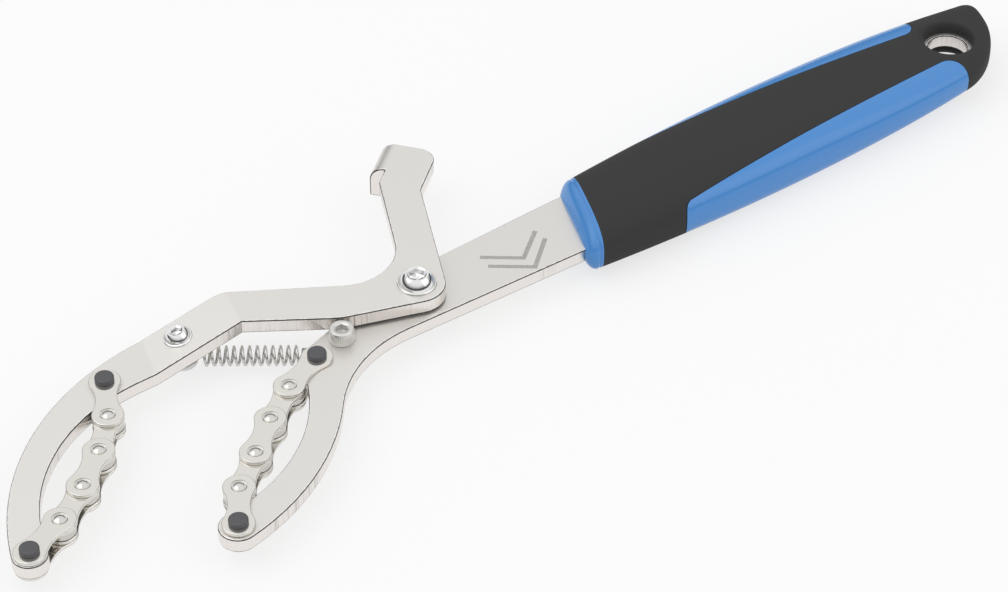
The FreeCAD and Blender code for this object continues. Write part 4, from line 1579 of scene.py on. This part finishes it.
    def build(self) -> None:
        """Builds the cover and the core."""
        cover = self.form(self.collar_long + self.cover_gap, "cover_form")
        core = self.collar()
        tools = []
        for side in (1, -1):
            panel = self.form(self.collar_long + 6.0, f"panel_form_{side}")
            field = self.panel_block(side, 0.0)
            opening = self.panel_block(side, self.seam)
            carve(panel, field, "INTERSECT")
            carve(cover, opening, "DIFFERENCE")
            carve(core, panel, "UNION")
            tools += [panel, field, opening]
        tools.append(self.funnel())
        carve(cover, tools[-1], "DIFFERENCE")
        self.dress(cover, "grip_cover_moulded", "grip_cover", Finish.RUBBER)
        self.dress(core, "grip_core_moulded", "grip_core", Finish.BLUE)
        for tool in tools:
            bpy.data.objects.remove(tool)


# Studio


@dataclass(frozen=True)
class Lamp:
    """Large square lamp: its place from the tool's middle and its side, in millimetres, and its watts."""

    name: str
    place: tuple[float, float, float]
    size: float
    power: float


@dataclass
class Studio:
    """Pale floor, soft light and the camera; the sky's stops are height and brightness."""

    camera_place: tuple[float, float, float] = (-545.5, -536.2, 561.05)
    camera_tilt: float = 49.12
    camera_heading: float = -35.95
    lens: float = 117.0
    ambient: float = 0.74
    floor_glow: float = 0.70
    floor_albedo: float = 0.8
    floor_reach: float = 4.0
    sky: tuple[Band, ...] = ((0.0, 0.90), (0.02, 0.05), (0.20, 0.10), (0.40, 0.72), (0.60, 0.97), (1.0, 1.0))
    lamps: tuple[Lamp, ...] = (
        Lamp("key_lamp", (-620.0, 420.0, 980.0), 1100.0, 2.6),
        Lamp("fill_lamp", (560.0, -760.0, 620.0), 900.0, 1.5),
    )

    def build(self) -> None:
        """Builds the whole studio."""
        self.camera()
        self.floor()
        self.world()
        for lamp in self.lamps:
            self.hang(lamp)
        bpy.context.scene.view_settings.view_transform = "Standard"
        log.info("studio with camera, floor, world and two lamps")

    def camera(self) -> None:
        """Camera at the photograph's viewing angle."""
        data = bpy.data.cameras.new("camera")
        data.lens = self.lens
        data.sensor_width = 36.0
        data.clip_start = 0.01
        camera = bpy.data.objects.new("camera", data)
        camera.location = Vector(self.camera_place) * MM
        camera.rotation_euler = (math.radians(self.camera_tilt), 0.0, math.radians(self.camera_heading))
        bpy.context.scene.collection.objects.link(camera)
        bpy.context.scene.camera = camera

    def hang(self, lamp: Lamp) -> None:
        """Puts up one lamp that looks at the middle of the tool."""
        data = bpy.data.lights.new(lamp.name, "AREA")
        data.size = lamp.size * MM
        data.energy = lamp.power
        light = bpy.data.objects.new(lamp.name, data)
        low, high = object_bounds()
        middle = (low + high) / 2
        light.location = Vector(lamp.place) * MM + middle
        light.rotation_euler = (middle - light.location).to_track_quat("-Z", "Y").to_euler()
        bpy.context.scene.collection.objects.link(light)

    def floor(self) -> None:
        """Large pale floor that the tool rests on."""
        bm = bmesh.new()
        bmesh.ops.create_grid(bm, x_segments=1, y_segments=1, size=self.floor_reach)
        bmesh.ops.translate(bm, verts=bm.verts, vec=Vector((0, 0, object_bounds()[0].z)))
        mesh = bpy.data.meshes.new("floor")
        bm.to_mesh(mesh)
        bm.free()
        floor = bpy.data.objects.new("floor", mesh)
        bpy.context.scene.collection.objects.link(floor)
        material = bpy.data.materials.new("floor_paper")
        material.use_nodes = True
        tree = material.node_tree
        tree.nodes.clear()
        out = tree.nodes.new("ShaderNodeOutputMaterial")
        plain = tree.nodes.new("ShaderNodeBsdfDiffuse")
        plain.inputs["Color"].default_value = (self.floor_albedo,) * 3 + (1.0,)
        dim = tree.nodes.new("ShaderNodeBsdfDiffuse")
        dim.inputs["Color"].default_value = (1.0 - self.floor_glow,) * 3 + (1.0,)
        glow = tree.nodes.new("ShaderNodeEmission")
        glow.inputs["Strength"].default_value = self.floor_glow
        total = tree.nodes.new("ShaderNodeAddShader")
        pick = tree.nodes.new("ShaderNodeMixShader")
        tree.links.new(dim.outputs[0], total.inputs[0])
        tree.links.new(glow.outputs[0], total.inputs[1])
        tree.links.new(seen_directly(tree), pick.inputs[0])
        tree.links.new(plain.outputs[0], pick.inputs[1])
        tree.links.new(total.outputs[0], pick.inputs[2])
        tree.links.new(pick.outputs[0], out.inputs["Surface"])
        mesh.materials.append(material)
        floor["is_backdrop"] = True

    def world(self) -> None:
        """Even white surroundings, dimmer towards the horizon in reflections."""
        world = bpy.data.worlds.new("studio_world")
        bpy.context.scene.world = world
        world.use_nodes = True
        tree = world.node_tree
        background = tree.nodes["Background"]
        path = tree.nodes.new("ShaderNodeLightPath")
        place = tree.nodes.new("ShaderNodeTexCoord")
        split = tree.nodes.new("ShaderNodeSeparateXYZ")
        tree.links.new(place.outputs["Generated"], split.inputs[0])
        height = tree.nodes.new("ShaderNodeValToRGB")
        ramp = height.color_ramp
        while len(ramp.elements) < len(self.sky):
            ramp.elements.new(0.5)
        for element, (position, level) in zip(ramp.elements, self.sky):
            element.position = position
            element.color = (level, level, level, 1.0)
        tree.links.new(split.outputs["Z"], height.inputs["Fac"])
        glossy = tree.nodes.new("ShaderNodeMix")
        tree.links.new(path.outputs["Is Glossy Ray"], glossy.inputs[0])
        glossy.inputs[2].default_value = self.ambient
        tree.links.new(height.outputs["Color"], glossy.inputs[3])
        direct = tree.nodes.new("ShaderNodeMix")
        camera = tree.nodes.new("ShaderNodeMath")
        camera.operation = "MAXIMUM"
        tree.links.new(path.outputs["Is Camera Ray"], camera.inputs[0])
        tree.links.new(path.outputs["Is Transmission Ray"], camera.inputs[1])
        tree.links.new(camera.outputs[0], direct.inputs[0])
        tree.links.new(glossy.outputs[0], direct.inputs[2])
        direct.inputs[3].default_value = 1.0
        background.inputs["Color"].default_value = (1.0, 1.0, 1.0, 1.0)
        tree.links.new(direct.outputs[0], background.inputs["Strength"])


def seen_directly(tree: bpy.types.NodeTree) -> bpy.types.NodeSocket:
    """Value that is 1 for camera, glossy and transmission rays.

    Args:
        tree: node tree to add to.

    Returns:
        The value's socket.
    """
    path = tree.nodes.new("ShaderNodeLightPath")
    value = path.outputs["Is Camera Ray"]
    for name in ("Is Glossy Ray", "Is Transmission Ray"):
        largest = tree.nodes.new("ShaderNodeMath")
        largest.operation = "MAXIMUM"
        tree.links.new(value, largest.inputs[0])
        tree.links.new(path.outputs[name], largest.inputs[1])
        value = largest.outputs[0]
    return value


def main() -> None:
    """Builds the studio and every sub-assembly in order."""
    logging.basicConfig(level=logging.INFO, format="%(message)s")
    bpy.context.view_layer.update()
    Studio().build()
    Arms().build()
    Marks().build()
    fasteners = Fasteners()
    fasteners.build()
    TensionSpring().build(fasteners.post_place())
    for arm in ("main", "jaw"):
        ChainRun(arm).build()
    Grip().build()


if __name__ == "__main__":
    main()
